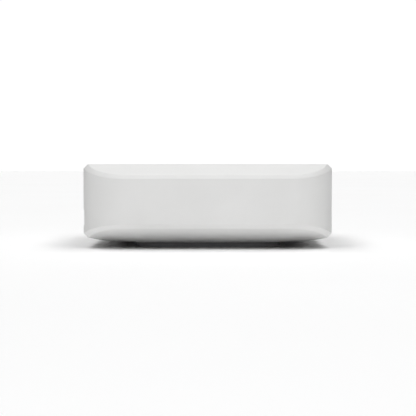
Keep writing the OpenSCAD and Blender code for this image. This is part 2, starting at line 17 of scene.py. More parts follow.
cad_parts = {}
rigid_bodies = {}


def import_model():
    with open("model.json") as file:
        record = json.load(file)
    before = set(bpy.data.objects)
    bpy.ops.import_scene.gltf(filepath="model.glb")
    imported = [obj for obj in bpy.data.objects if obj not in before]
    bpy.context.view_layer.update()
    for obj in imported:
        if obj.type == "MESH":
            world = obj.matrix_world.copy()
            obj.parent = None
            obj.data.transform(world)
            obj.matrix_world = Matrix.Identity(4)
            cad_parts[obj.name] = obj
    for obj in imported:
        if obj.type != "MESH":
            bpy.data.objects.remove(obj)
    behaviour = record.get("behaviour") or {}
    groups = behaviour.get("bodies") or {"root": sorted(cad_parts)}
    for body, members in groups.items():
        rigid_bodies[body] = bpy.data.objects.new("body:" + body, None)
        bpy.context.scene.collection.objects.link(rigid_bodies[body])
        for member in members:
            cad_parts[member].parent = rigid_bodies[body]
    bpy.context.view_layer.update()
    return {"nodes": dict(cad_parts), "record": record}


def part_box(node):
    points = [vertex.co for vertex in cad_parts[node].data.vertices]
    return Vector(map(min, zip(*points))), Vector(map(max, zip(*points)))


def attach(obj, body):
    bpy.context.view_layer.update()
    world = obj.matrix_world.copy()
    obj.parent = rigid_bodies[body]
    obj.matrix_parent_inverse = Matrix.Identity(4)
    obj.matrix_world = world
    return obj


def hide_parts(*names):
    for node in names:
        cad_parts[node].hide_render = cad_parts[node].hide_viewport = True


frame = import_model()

MM = 0.001


def box_mm(node):
    """Lowest and highest corner of a node, in millimetres."""
    low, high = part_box(node)
    return low / MM, high / MM


# %% [markdown]
# ## Camera
# The player is seen from straight in front, with the camera level with its top face, so the top
# shows as a line and the sloping front edge as a thin light band. A long lens about half a metre
# away keeps the walls upright. The camera is tipped down a little to bring the player to the
# middle, which leaves the lens shift at zero.

# %% Camera
CAMERA_MM = (0.12, -493.0, 32.8)
LENS_MM = 101.0
TILT_DEG = 2.144
camera_data = bpy.data.cameras.new("camera")
camera_data.lens = LENS_MM
camera_data.sensor_width = 36.0
camera_data.clip_start = 0.01
camera = bpy.data.objects.new("camera", camera_data)
camera.location = Vector(CAMERA_MM) * MM
camera.rotation_euler = (math.radians(90 - TILT_DEG), 0, 0)
bpy.context.scene.collection.objects.link(camera)
bpy.context.scene.camera = camera
print("camera at", CAMERA_MM, "mm")

# %% [markdown]
# ## Helpers for materials
# Colours are picked as sRGB hex values, as on a colour card, and one function turns them to the
# linear values that the shader wants. One small function adds a node with its settings and links.
# A finish is then a short recipe: most real surfaces have a colour and a gloss that wander slowly
# over centimetres, and a fine grain that is raised on top.


# %% Colour, nodes and the common recipe
def colour(code):
    """An sRGB hex value such as "F2F2F1" as linear red, green and blue, with an alpha of 1."""
    parts = [int(code[i:i + 2], 16) / 255 for i in (0, 2, 4)]
    return [p / 12.92 if p <= 0.04045 else ((p + 0.055) / 1.055) ** 2.4 for p in parts] + [1.0]


def add(tree, kind, settings=None, **inputs):
    """Adds a node. settings are its properties. An input is a value, or a node and its output."""
    made = tree.nodes.new("ShaderNode" + kind)
    for name, value in (settings or {}).items():
        setattr(made, name, value)
    for name, value in inputs.items():
        socket = made.inputs[name.replace("_", " ")]
        if isinstance(value, tuple) and isinstance(value[0], bpy.types.Node):
            tree.links.new(value[0].outputs[value[1]], socket)
        else:
            socket.default_value = value
    return made


def finish(name, dark, light, wander_mm, rough, grain_mm, depth_mm, stretch=(1, 1, 1), **shader):
    """A surface between two colours and two roughnesses, with a raised grain.
    stretch below 1 draws the patterns out along that axis, as rolling or brushing does."""
    made = bpy.data.materials.new(name)
    made.use_nodes = True
    tree = made.node_tree
    tree.nodes.clear()
    surface = add(tree, "BsdfPrincipled", **shader)
    add(tree, "OutputMaterial", Surface=(surface, "BSDF"))
    place = add(tree, "TexCoord")
    drawn = add(tree, "Mapping", Vector=(place, "Object"), Scale=stretch)
    cloud = add(tree, "TexNoise", Vector=(drawn, "Vector"), Scale=1 / (wander_mm * MM), Detail=3.0)
    tones = add(tree, "ValToRGB", Fac=(cloud, "Fac"))
    for stop, where, code in zip(tones.color_ramp.elements, (0.3, 0.7), (dark, light), strict=True):
        stop.position = where
        stop.color = colour(code)
    tree.links.new(tones.outputs["Color"], surface.inputs["Base Color"])
    gloss = add(tree, "MapRange", Value=(cloud, "Fac"), To_Min=rough[0], To_Max=rough[1])
    tree.links.new(gloss.outputs["Result"], surface.inputs["Roughness"])
    grain = add(tree, "TexNoise", Vector=(drawn, "Vector"), Scale=1 / (grain_mm * MM), Detail=2.0)
    raised = add(tree, "Bump", Distance=depth_mm * MM, Height=(grain, "Fac"))
    tree.links.new(raised.outputs["Normal"], surface.inputs["Normal"])
    return made


# %% [markdown]
# ## White casing plastic
# The shells are injection-moulded ABS, coloured white right through. The mould was spark-eroded
# to a fine, even grain, which takes the shine off and leaves a soft satin. The real grain is finer
# than a tenth of a millimetre; it is drawn at a quarter, so that it shows close up.

# %% Moulded ABS, spark-eroded white
FINISH = {}
FINISH["white_plastic"] = finish("moulded ABS, spark-eroded white", "EBEBEA", "EFEFEE", 18,
                                 (0.47, 0.53), 0.25, 0.006, IOR=1.54)

# %% [markdown]
# ## Foot rubber
# The foot is moulded from grey silicone rubber. It is dull and slightly dusty to the eye, because
# its skin has a fine leathery grain and next to no gloss.

# %% Moulded silicone rubber
FINISH["foot_rubber"] = finish("moulded silicone rubber, grey", "8E8E91", "98989B", 5,
                               (0.74, 0.86), 0.35, 0.02, IOR=1.43)

# %% [markdown]
# ## Plastics inside
# Sockets are moulded from black nylon with glass fibre in it, which leaves a faint streaky bloom.
# The push pins are natural nylon, milky and soft-edged. The flap, the switch and its stem are
# smoother small mouldings. The light guide is clear polycarbonate, so light passes into it.

# %% Moulded plastics
FINISH["socket_plastic"] = finish("glass-filled nylon, black", "1A1A1C", "232326", 3,
                                  (0.42, 0.58), 0.15, 0.006, (1, 0.4, 1), IOR=1.53)
FINISH["nylon"] = finish("moulded nylon, natural", "DCDCD3", "E9E9E1", 4, (0.36, 0.46), 0.3, 0.004,
                         IOR=1.53, Subsurface_Weight=0.2, Subsurface_Radius=(0.002, 0.002, 0.0015))
FINISH["tongue_white"] = finish("liquid crystal polymer, ivory", "DEDDD6", "E9E8E2", 3,
                                (0.4, 0.5), 0.2, 0.004, IOR=1.55)
FINISH["stem_plastic"] = finish("moulded polyacetal, red-brown", "852B27", "94332E", 2,
                                (0.34, 0.42), 0.2, 0.003, IOR=1.48)
FINISH["light_lens"] = finish("moulded polycarbonate, clear", "EDF2F5", "F7FAFB", 6, (0.04, 0.1),
                              0.4, 0.002, IOR=1.585, Transmission_Weight=0.85)
FINISH["emitter_plastic"] = finish("cast epoxy, red-tinted", "6C1614", "82201C", 2, (0.12, 0.2),
                                   0.4, 0.002, IOR=1.56, Transmission_Weight=0.25)

# %% [markdown]
# ## Metals
# The socket shells and shield cans are stamped from strip plated with nickel, so they carry faint
# lines along the rolling direction. The weight and the screws are steel with a bluish zinc plate.
# Contacts have a thin flash of gold over nickel. The heatsink was extruded along its fins and
# anodised, which leaves long fine draw lines; the capacitor cans were drawn from soft aluminium.

# %% Plated, drawn and extruded metals
FINISH["plated_metal"] = finish("nickel-plated strip, rolled", "B9B8B4", "CDCCC8", 6,
                                (0.24, 0.36), 0.12, 0.002, (1, 0.08, 1), Metallic=1.0)
FINISH["steel"] = finish("zinc-plated steel, bluish", "A6ABB2", "BEC2C8", 4, (0.3, 0.46), 0.35,
                         0.004, (1, 0.5, 1), Metallic=1.0)
FINISH["gold_contact"] = finish("gold-flashed bronze", "CFA24A", "E0B866", 2, (0.16, 0.26), 0.1,
                                0.001, (1, 0.2, 1), Metallic=1.0)
FINISH["heatsink_aluminium"] = finish("extruded aluminium, anodised clear", "B4B7BB", "C6C9CC", 5,
                                      (0.34, 0.46), 0.15, 0.006, (0.05, 1, 1), Metallic=1.0)
FINISH["capacitor_can"] = finish("deep-drawn aluminium", "C9CBCE", "DADCDE", 3, (0.22, 0.34), 0.12,
                                 0.002, (1, 1, 0.1), Metallic=1.0)
FINISH["copper_film"] = finish("rolled copper foil, lacquered", "B87444", "C98556", 4,
                               (0.24, 0.4), 0.2, 0.003, (1, 0.2, 1), Metallic=1.0)

# %% [markdown]
# ## Board, chips and pads
# The board is glass cloth in epoxy. Its green solder mask is a glossy lacquer that lies over the
# copper, so tracks show as slightly lighter, slightly raised lines. Chips are pressed from black
# epoxy with mineral filler, and ferrite is a pressed and fired powder with an even, dry speckle.


# %% Board, chips, ferrite, pads, tape and sheath
def solder_mask(name, mask, over_copper, track_mm):
    """A lacquered board whose copper tracks show through as lighter raised lines."""
    made = finish(name, mask, mask, 9, (0.2, 0.3), 0.5, 0.001, IOR=1.55)
    tree = made.node_tree
    surface = tree.nodes["Principled BSDF"]
    place = tree.nodes["Texture Coordinate"]
    tracks = add(tree, "TexBrick", {"offset": 0.37, "squash": 0.6, "squash_frequency": 3},
                 Vector=(place, "Object"), Scale=1.0, Color1=colour(mask), Color2=colour(mask),
                 Mortar=colour(over_copper), Mortar_Size=track_mm * MM / 2,
                 Brick_Width=8.6 * MM, Row_Height=1.4 * MM)
    tree.links.new(tracks.outputs["Color"], surface.inputs["Base Color"])
    raised = add(tree, "Bump", Distance=0.03 * MM, Height=(tracks, "Fac"))
    tree.links.new(raised.outputs["Normal"], surface.inputs["Normal"])
    return made


FINISH["circuit_board"] = solder_mask("solder mask on glass-epoxy, green", "17452F", "246345", 0.3)
FINISH["radio_board"] = solder_mask("solder mask on glass-epoxy, blue", "1B4585", "2A5DA6", 0.2)
FINISH["chip"] = finish("pressed epoxy, black", "202125", "2A2B2F", 2, (0.5, 0.62), 0.12, 0.006,
                        IOR=1.57)
FINISH["ferrite"] = finish("fired ferrite, dark grey", "4C4D51", "5E5F63", 0.4, (0.55, 0.7), 0.15,
                           0.01, IOR=1.7)
FINISH["thermal_pad"] = finish("ceramic-filled silicone, blue-grey", "8298B5", "93A8C4", 3,
                               (0.6, 0.75), 0.5, 0.02, IOR=1.41)
FINISH["film"] = finish("polyimide film, amber", "B98A36", "CB9C47", 12, (0.16, 0.28), 4, 0.01,
                        IOR=1.7, Transmission_Weight=0.2)
FINISH["tape"] = finish("tissue tape, off-white", "CFCFC6", "E2E2DA", 1.2, (0.5, 0.7), 0.3, 0.02,
                        (1, 0.3, 1), IOR=1.47)
FINISH["lead_sheath"] = finish("extruded fluoropolymer, dark grey", "252528", "303034", 4,
                               (0.3, 0.42), 0.4, 0.003, IOR=1.38)
print("finishes:", len(FINISH))

# %% [markdown]
# ## Helpers for shapes
# Boxes start from a cube and turned pieces from a profile that is spun, as on a lathe. Moulded and
# stamped pieces never have knife edges, so a profile's corners are rounded first. A finished shape
# becomes an object that stands for its node of the frame and rides on its body.


# %% Shapes and finished pieces
def box(bm, low, high):
    """A box between two corners. Returns its points."""
    low, high = Vector(low), Vector(high)
    made = bmesh.ops.create_cube(bm, size=1.0)["verts"]
    bmesh.ops.scale(bm, vec=high - low, verts=made)
    bmesh.ops.translate(bm, vec=(low + high) / 2, verts=made)
    return made


def rounded(points, radius, steps=3):
    """The same open line with its corners rounded, each by radius or by less on a short side."""
    line = [Vector(p) for p in points]
    out = [line[0]]
    for before, corner, after in zip(line, line[1:], line[2:]):
        a = corner + (before - corner).normalized() * min(radius, (before - corner).length * 0.49)
        b = corner + (after - corner).normalized() * min(radius, (after - corner).length * 0.49)
        for i in range(steps + 1):
            t = i / steps
            out.append(a * (1 - t) ** 2 + corner * 2 * t * (1 - t) + b * t * t)
    return out + [line[-1]]


def turned(bm, profile, at, facing=(0, 0, 1), steps=48):
    """Spins a profile of (radius, height) points round a line through at. Returns its points."""
    before = set(bm.verts)
    spots = [bm.verts.new((p[0], 0, p[1])) for p in profile]
    line = [bm.edges.new(pair) for pair in zip(spots, spots[1:])]
    bmesh.ops.spin(bm, geom=spots + line, cent=(0, 0, 0), axis=(0, 0, 1), angle=math.tau,
                   steps=steps, use_merge=True, use_duplicate=False)
    made = [v for v in bm.verts if v not in before]
    bmesh.ops.remove_doubles(bm, verts=made, dist=1e-4)
    made = [v for v in bm.verts if v not in before]
    turn = Vector((0, 0, 1)).rotation_difference(Vector(facing)).to_matrix().to_4x4()
    bmesh.ops.transform(bm, matrix=Matrix.Translation(at) @ turn, verts=made)
    return made


def lathed(profile, at=(0, 0, 0), facing=(0, 0, 1), steps=40):
    """One turned shape as a new bmesh."""
    bm = bmesh.new()
    turned(bm, profile, at, facing, steps)
    return bm


def rounded_square(bm, half_a, half_b, corner_r, segments):
    """Adds a flat face with round corners at z = 0. Returns the face."""
    before = set(bm.verts)
    bmesh.ops.create_grid(bm, x_segments=1, y_segments=1, size=1.0)
    made = [v for v in bm.verts if v not in before]
    bmesh.ops.scale(bm, vec=(half_a, half_b, 1), verts=made)
    bmesh.ops.bevel(bm, geom=made, offset=corner_r, offset_type="OFFSET", affect="VERTICES",
                    segments=segments, profile=0.5, material=-1)
    return next(f for f in bm.faces if not set(f.verts) & before)


def piece(bm, name, nodes, body="casing", slot=None, look=None, smooth_deg=30, even=False):
    """Turns a bmesh in millimetres into a finished piece that stands for the given nodes.
    It takes its first node's finish, unless slot or look names another."""
    bmesh.ops.recalc_face_normals(bm, faces=bm.faces[:])
    bmesh.ops.scale(bm, vec=(MM, MM, MM), verts=bm.verts)
    for face in bm.faces:
        face.smooth = True
    mesh = bpy.data.meshes.new(name)
    bm.to_mesh(mesh)
    bm.free()
    mesh.set_sharp_from_angle(angle=math.radians(smooth_deg))
    slot = slot or SLOT_OF[nodes[0]]
    mesh.materials.append(FINISH[look or slot])
    made = bpy.data.objects.new(name, mesh)
    bpy.context.scene.collection.objects.link(made)
    if even:
        made.modifiers.new("even shading", "WEIGHTED_NORMAL").keep_sharp = True
    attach(made, body)
    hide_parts(*nodes)
    print(name, len(mesh.polygons), "faces")
    return made


SLOT_OF = {part["node"]: part["material_slot"] for part in frame["record"]["subparts"]}

# %% [markdown]
# ## Cutting and joining
# A wall's openings and its posts are made as a moulder thinks of them: the plain wall first, then
# tools that cut it or lumps that join it. The result is one closed skin. The openings' tools are
# flared at the wall's face, which leaves a fine lead-in round each hole.


# %% Boolean helper
def combine(bm, tool, operation):
    """Cuts, joins or trims a bmesh by another and returns the result as a new bmesh."""
    pair = []
    for part in (bm, tool):
        bmesh.ops.recalc_face_normals(part, faces=part.faces[:])
        mesh = bpy.data.meshes.new("part")
        part.to_mesh(mesh)
        part.free()
        pair.append(bpy.data.objects.new("part", mesh))
        bpy.context.scene.collection.objects.link(pair[-1])
    cut = pair[0].modifiers.new("cut", "BOOLEAN")
    cut.operation = operation
    cut.solver = "EXACT"
    cut.use_self = operation == "UNION"
    cut.object = pair[1]
    result = bmesh.new()
    result.from_object(pair[0], bpy.context.evaluated_depsgraph_get())
    for part in pair:
        bpy.data.objects.remove(part)
    bmesh.ops.remove_doubles(result, verts=result.verts[:], dist=1e-4)
    return result


def opening_tool(bm, centre, half_a, half_b, corner_r, outward, depth_mm, flare_mm=0.35):
    """A cutter for an opening in a wall. centre is on the wall's face, and outward is its normal."""
    before = set(bm.verts)
    face = rounded_square(bm, half_a, half_b, corner_r, 8)
    base = face.edges[:]
    past = 0.6
    for step, spread in ((depth_mm - flare_mm, 0), (flare_mm, flare_mm), (past, past)):
        made = bmesh.ops.extrude_discrete_faces(bm, faces=[face])["faces"]
        face = made[0]
        bmesh.ops.translate(bm, vec=(0, 0, step), verts=face.verts[:])
        bmesh.ops.scale(bm, vec=((half_a + spread) / half_a, (half_b + spread) / half_b, 1),
                        verts=face.verts[:])
        half_a += spread
        half_b += spread
    bmesh.ops.contextual_create(bm, geom=base)
    made = [v for v in bm.verts if v not in before]
    outward = Vector(outward)
    across_wall = Vector((0, 0, 1)).cross(outward)
    basis = Matrix((across_wall, (0, 0, 1), outward)).transposed().to_4x4()
    spot = Vector(centre) - outward * depth_mm
    bmesh.ops.transform(bm, matrix=Matrix.Translation(spot) @ basis, verts=made)


# %% [markdown]
# ## The casing's form
# Seen from above the casing is a rounded square. Its top is flat in the middle and slopes down to
# the front and to the back, and its underside does the same upside down, so the side walls stand
# taller than the front one. A narrow chamfer runs round both edges, and below it the belly dishes
# in towards the foot.
#
# Such a form could be cut from a block with planes. Here it is drawn out instead: one outline is
# extruded again and again, and each new ring is moved to its own inset and height. All rings keep
# the same points, so the edges stay even and the chamfer keeps its width round the corners.

# %% Sizes of the casing
CASE_LOW, CASE_HIGH = box_mm("top_housing")
HALF = CASE_HIGH.x
TOP_Z = CASE_HIGH.z
JOINT_Z = CASE_LOW.z
BELLY_Z = box_mm("bottom_cover")[0].z
CORNER_R = 17.5
CHAMFER = 1.65
WALL = 2.0
SLOPE_RUN = 13.0
TOP_DROP = 3.95
JOINT_RISE = 4.1
SLOPE_Y = HALF - SLOPE_RUN
CREASE_SOFT = 1.0
BELLY_HALF = 30.5
BELLY_R = 10.0
FRONT_BEND = 1.7
SIDE_BEND = 2.2
SCREW_HEAD_H = 2.0
CASE_SCREW_Z = box_mm("case_screws")[0].z + SCREW_HEAD_H
print("half width", round(HALF, 2), "top", round(TOP_Z, 2), "joint", round(JOINT_Z, 2))


# %% Where a ring's points go
def square_point(x, y, half, corner_r):
    """Where a point of the casing's outline lies on another rounded square."""
    core = HALF - CORNER_R
    core_x = max(-core, min(core, x))
    core_y = max(-core, min(core, y))
    share = (half - corner_r) / core
    bend = corner_r / CORNER_R
    return core_x * share + (x - core_x) * bend, core_y * share + (y - core_y) * bend


def past_slope(y):
    """How far a point lies beyond the start of the slope, which begins softly."""
    over = abs(y) - SLOPE_Y
    if over <= -CREASE_SOFT:
        return 0.0
    return over if over >= CREASE_SOFT else (over + CREASE_SOFT) ** 2 / (4 * CREASE_SOFT)


def lean(y, inset, chamfered, drop):
    """How far the slope lowers a point. On the chamfer it grows, to end in line with the wall's."""
    return drop / SLOPE_RUN * past_slope(y) * (1 + chamfered / (SLOPE_RUN - inset))


def upper(inset, level, wall=0.0):
    """Places points of the top housing at an inset and a level, with level as at the side walls."""
    chamfered = max(0.0, min(CHAMFER, level - (TOP_Z - CHAMFER - wall)))
    drop = TOP_DROP if level > (TOP_Z + JOINT_Z) / 2 else -JOINT_RISE

    def place(x, y):
        px, py = square_point(x, y, HALF - inset - wall, CORNER_R - inset - wall)
        return px, py, level - lean(py, inset + wall, chamfered, drop)
    return place


def lower(inset, level):
    """Places points of the bottom cover's edge, chamfer and lip."""
    chamfered = max(0.0, min(CHAMFER, JOINT_Z - level))

    def place(x, y):
        px, py = square_point(x, y, HALF - inset, CORNER_R - inset)
        return px, py, level - lean(py, inset, chamfered, -JOINT_RISE)
    return place


def belly(t, skin=0.0):
    """Places points of the belly: t is 0 at the chamfer and 1 at the flat middle round the foot."""
    left = max(0.0, 1 - t)

    def place(x, y):
        half = HALF - CHAMFER + (BELLY_HALF - HALF + CHAMFER) * t
        corner_r = CORNER_R - CHAMFER + (BELLY_R - CORNER_R + CHAMFER) * t
        px, py = square_point(x, y, half, corner_r)
        rim_y = square_point(x, y, HALF - CHAMFER, CORNER_R - CHAMFER)[1]
        front = lean(rim_y, CHAMFER, CHAMFER, 1.0)
        side_rise = JOINT_Z - CHAMFER - BELLY_Z
        dished = side_rise * left ** SIDE_BEND * (1 - front)
        dished += (side_rise + JOINT_RISE) * left ** FRONT_BEND * front
        joint = JOINT_Z - lean(py, 0, 0, -JOINT_RISE)
        height = BELLY_Z + dished + skin
        return px, py, min(joint, height) if skin else height
    return place


def middle(half, corner_r, level):
    """Places points of a flat rounded square."""
    return lambda x, y: (*square_point(x, y, half, corner_r), level)


# %% Drawing out the rings
def outline(bm, home):
    """The first ring, with extra points where the slopes begin. Returns its edges."""
    before = set(bm.verts)
    face = rounded_square(bm, HALF, HALF, CORNER_R, 24)
    bmesh.ops.delete(bm, geom=[face], context="FACES_ONLY")
    cuts = 8
    for i in range(cuts):
        for side in (-1, 1):
            fresh = [v for v in bm.verts if v not in before]
            loop = list({e for v in fresh for e in v.link_edges})
            near = SLOPE_Y - CREASE_SOFT + 3 * CREASE_SOFT * i / cuts
            bmesh.ops.bisect_plane(bm, geom=fresh + loop, plane_co=(0, side * near, 0),
                                   plane_no=(0, 1, 0))
    fresh = [v for v in bm.verts if v not in before]
    for v in fresh:
        v[home] = v.co
    return list({e for v in fresh for e in v.link_edges})


def settle(edges, home, place):
    """Moves a ring's points to where place puts them."""
    for v in {v for e in edges for v in e.verts}:
        v.co = Vector(place(v[home].x, v[home].y))


def draw_ring(bm, edges, home, place):
    """Extrudes a ring and settles the new one. Returns the new ring's edges."""
    made = bmesh.ops.extrude_edge_only(bm, edges=edges)["geom"]
    old = {v for e in edges for v in e.verts}
    for v in made:
        if isinstance(v, bmesh.types.BMVert):
            v[home] = next(o[home] for e in v.link_edges for o in e.verts if o in old)
    ring = [g for g in made if isinstance(g, bmesh.types.BMEdge)]
    settle(ring, home, place)
    return ring


def close_ring(bm, edges):
    """Fills a ring, with rows across where the slopes bend. The middle stays one flat face."""
    verts = {v for e in edges for v in e.verts}
    bmesh.ops.contextual_create(bm, geom=list(edges))
    end_y = max(v.co.y for v in verts)
    right = {round(v.co.y, 3): v for v in verts if v.co.x > 0}
    for v in [v for v in verts if v.co.x < 0]:
        if SLOPE_Y - 1.5 * CREASE_SOFT < abs(v.co.y) < end_y - 0.001:
            bmesh.ops.connect_verts(bm, verts=[v, right[round(v.co.y, 3)]])


def skin(bm, home, places):
    """Draws one ring after another through the places. Returns the first ring and the last."""
    first = outline(bm, home)
    settle(first, home, places[0])
    ring = first
    for place in places[1:]:
        ring = draw_ring(bm, ring, home, place)
    return first, ring


def bend_round(start, corner, end, steps=3):
    """Points of (inset, level) that round off a corner, from start to end."""
    return [tuple(s * (1 - t) ** 2 + 2 * c * t * (1 - t) + e * t * t
                  for s, c, e in zip(start, corner, end, strict=True))
            for t in (i / steps for i in range(steps + 1))]


# %% [markdown]
# ## Top housing
# This shell is the top face and all four walls. It is moulded upside down, so its inside is open
# and its wall is even. The outer skin is drawn out from the joint line to the middle of the top,
# the inner skin the same way with the wall taken off, and a rim bridges the two. Four bosses for
# the case screws hang from the ceiling, each stiffened by a small cross of ribs.

# %% Shell, bosses and openings
EDGE_R = 0.3
SEAM_R = 0.12
SLIP_GAP = 0.3
TOOL_DEPTH = 4.0
BOARD_LOW, BOARD_HIGH = box_mm("main_board")
BOARD_TOP = BOARD_HIGH.z


def solids_mm(node):
    """The lowest and the highest corner of each separate solid of a node."""
    bm = bmesh.new()
    bm.from_mesh(frame["nodes"][node].data)
    bmesh.ops.remove_doubles(bm, verts=bm.verts[:], dist=1e-6)
    left = set(bm.verts)
    found = []
    while left:
        heap = [left.pop()]
        group = []
        while heap:
            vert = heap.pop()
            group.append(vert.co / MM)
            near = {e.other_vert(vert) for e in vert.link_edges} & left
            left -= near
            heap += near
        found.append(tuple(Vector(pick(c[i] for c in group) for i in range(3)) for pick in (min, max)))
    bm.free()
    return sorted(found, key=lambda pair: tuple(pair[0]))


def middle_of(pair):
    """The point halfway between two corners."""
    return (pair[0] + pair[1]) / 2


CASE_SCREW_SPOTS = [middle_of(pair).xy for pair in solids_mm("case_screws")]
BOARD_SCREW_SPOTS = [middle_of(pair).xy for pair in solids_mm("board_screws")]
BACK = (0, 1, 0)
LEFT = (-1, 0, 0)


def top_shell():
    """The plain shell, with its outer and inner skins joined at the rim."""
    bm = bmesh.new()
    home = bm.verts.layers.float_vector.new("home")
    crease = TOP_Z - CHAMFER
    soft = EDGE_R * 0.7
    edges = bend_round((0, crease - EDGE_R), (0, crease), (soft, crease + soft))
    edges += bend_round((CHAMFER - soft, TOP_Z - soft), (CHAMFER, TOP_Z), (CHAMFER + EDGE_R, TOP_Z))
    outer = [upper(SEAM_R, JOINT_Z), upper(0, JOINT_Z + SEAM_R)] + [upper(*e) for e in edges]
    inner = [upper(0, JOINT_Z, WALL), upper(0, crease - WALL, WALL), upper(CHAMFER, TOP_Z - WALL, WALL)]
    rims = []
    for places in (outer, inner):
        first, last = skin(bm, home, places)
        close_ring(bm, last)
        rims += first
    bmesh.ops.bridge_loops(bm, edges=rims)
    return bm


def bosses():
    """Round bosses that hang from the ceiling over the case screws."""
    bm = bmesh.new()
    ceiling = TOP_Z - WALL
    for x, y in CASE_SCREW_SPOTS:
        turned(bm, [(0, BOARD_TOP), (2.85, BOARD_TOP), (3.0, BOARD_TOP + 0.2), (3.1, ceiling - 0.6),
                    (3.7, ceiling), (3.7, ceiling + 1), (0, ceiling + 1)], (x, y, 0), steps=40)
    return bm


def ribs():
    """A cross of two short ribs at the root of each boss."""
    bm = bmesh.new()
    half_t = 0.6
    reach = 6
    ceiling = TOP_Z - WALL
    for x, y in CASE_SCREW_SPOTS:
        for along, across in ((reach, half_t), (half_t, reach)):
            box(bm, (x - along, y - across, ceiling - 6), (x + along, y + across, ceiling + 1))
    return bm


def around(bm, node, outward, corner_r):
    """A tool for a wall's opening round a socket, with a slip gap. outward is the wall's normal."""
    low, high = box_mm(node)
    mid = middle_of((low, high))
    half = (high - low) / 2
    at_back = outward == BACK
    centre = (mid.x, HALF, mid.z) if at_back else (-HALF, mid.y, mid.z)
    across = half.x if at_back else half.y
    opening_tool(bm, centre, across + SLIP_GAP, half.z + SLIP_GAP, corner_r, outward, TOOL_DEPTH)


def wall_tools():
    """Everything that is cut from the housing: openings, screw bores and the light's pocket."""
    bm = bmesh.new()
    for node, corner_r in (("video_shell", 0.8), ("optical_socket", 0.5), ("network_shield", 0.5)):
        around(bm, node, BACK, corner_r)
    around(bm, "data_shell", LEFT, 0.6)
    for node, r in (("power_pin", 4.3), ("reset_button", 1.8)):
        mid = middle_of(box_mm(node))
        opening_tool(bm, (mid.x, HALF, mid.z), r, r, r * 0.98, BACK, TOOL_DEPTH, flare_mm=0.25)
    for x, y in CASE_SCREW_SPOTS:
        turned(bm, [(0, BOARD_TOP - 1), (1.4, BOARD_TOP - 1), (1.1, BOARD_TOP + 0.4),
                    (1.1, BOARD_TOP + 7), (0, BOARD_TOP + 7.4)], (x, y, 0), steps=24)
    # A blind pocket thins the front wall, so that the status light shines through it.
    turned(bm, [(0, 0.7), (1.5, 0.7), (1.5, 4), (0, 4)], (0, -HALF, BOARD_TOP + 1.9), BACK, 32)
    return bm


housing = combine(top_shell(), bosses(), "UNION")
housing = combine(housing, ribs(), "UNION")
housing = combine(housing, wall_tools(), "DIFFERENCE")
piece(housing, "top_housing_shell", ["top_housing"], even=True)

# %% [markdown]
# ## Bottom cover
# The cover is a shallow dish. A thin lip stands inside its edge and slips into the top housing, so
# the joint needs no glue and hides right at the chamfer. Posts carry the board, mushroomed pegs
# hold the weight, and the four screw holes are counterbored from below, where the foot hides them.


# %% Dish, lip, posts, pegs and holes
PEG_X = 14
PEG_Y = 21


def bottom_shell():
    """The dish from its rim to the foot's recess, and inside from the lip to the floor."""
    bm = bmesh.new()
    home = bm.verts.layers.float_vector.new("home")
    lip_out, lip_in, lip_h = WALL + 0.15, WALL + 1.35, 1.2
    rows = 12
    foot_half, foot_top = box_mm("rubber_foot")[1].x + 0.3, box_mm("foot_tape")[1].z
    foot_corner = 9.5
    edges = bend_round((SEAM_R, JOINT_Z), (0, JOINT_Z), (SEAM_R, JOINT_Z - SEAM_R))
    edges += [(CHAMFER - 0.25, JOINT_Z - CHAMFER + 0.25), (CHAMFER - 0.08, JOINT_Z - CHAMFER + 0.1)]
    outside = [lower(*e) for e in edges]
    outside += [belly(t) for t in (0.006, 0.018)] + [belly(i / rows) for i in range(1, rows + 1)]
    outside += [middle(foot_half + 0.15, foot_corner + 0.15, BELLY_Z),
                middle(foot_half, foot_corner, BELLY_Z + 0.15),
                middle(foot_half, foot_corner, foot_top)]
    inside = [lower(SEAM_R, JOINT_Z), lower(lip_out, JOINT_Z), lower(lip_out, JOINT_Z + lip_h - 0.2),
              lower(lip_out + 0.2, JOINT_Z + lip_h), lower(lip_in, JOINT_Z + lip_h),
              lower(lip_in, JOINT_Z)]
    inside += [belly(0.2 + 0.8 * i / rows, WALL) for i in range(rows + 1)]
    for places in (outside, inside):
        last = skin(bm, home, places)[1]
        bmesh.ops.contextual_create(bm, geom=last)
    bmesh.ops.remove_doubles(bm, verts=bm.verts[:], dist=0.001)
    return bm


def dish_room():
    """A solid that fills the dish and sinks halfway into its floor, to trim the posts' feet."""
    bm = bmesh.new()
    home = bm.verts.layers.float_vector.new("home")
    rows = 9
    places = [middle(HALF - 4, CORNER_R - 4, BOARD_TOP)]
    places += [belly(0.1 + 0.9 * i / rows, WALL / 2) for i in range(rows + 1)]
    for ring in skin(bm, home, places):
        bmesh.ops.contextual_create(bm, geom=ring)
    return bm


def posts():
    """Screw posts under the board, and the pegs that hold the weight and its film."""
    bm = bmesh.new()
    floor_z = BELLY_Z + WALL
    pegs = [(side_x * PEG_X, side_y * PEG_Y) for side_x in (-1, 1) for side_y in (-1, 1)]
    weight_top = box_mm("base_weight")[1].z
    film_top = box_mm("insulating_film")[1].z
    for spots, r in ((CASE_SCREW_SPOTS, 3.8), (BOARD_SCREW_SPOTS, 2.6)):
        for x, y in spots:
            turned(bm, [(0, 0), (r + 0.5, 0), (r + 0.1, floor_z + 1), (r, BOARD_LOW.z - 0.15),
                        (r - 0.15, BOARD_LOW.z), (0, BOARD_LOW.z)], (x, y, 0), steps=40)
    for x, y in pegs:
        head = rounded([(1.0, weight_top), (1.7, weight_top + 0.05), (1.7, film_top + 0.35),
                        (0, film_top + 0.45)], 0.3)
        turned(bm, [(0, floor_z - 0.5), (1.0, floor_z - 0.5)] + head, (x, y, 0), steps=24)
    return bm


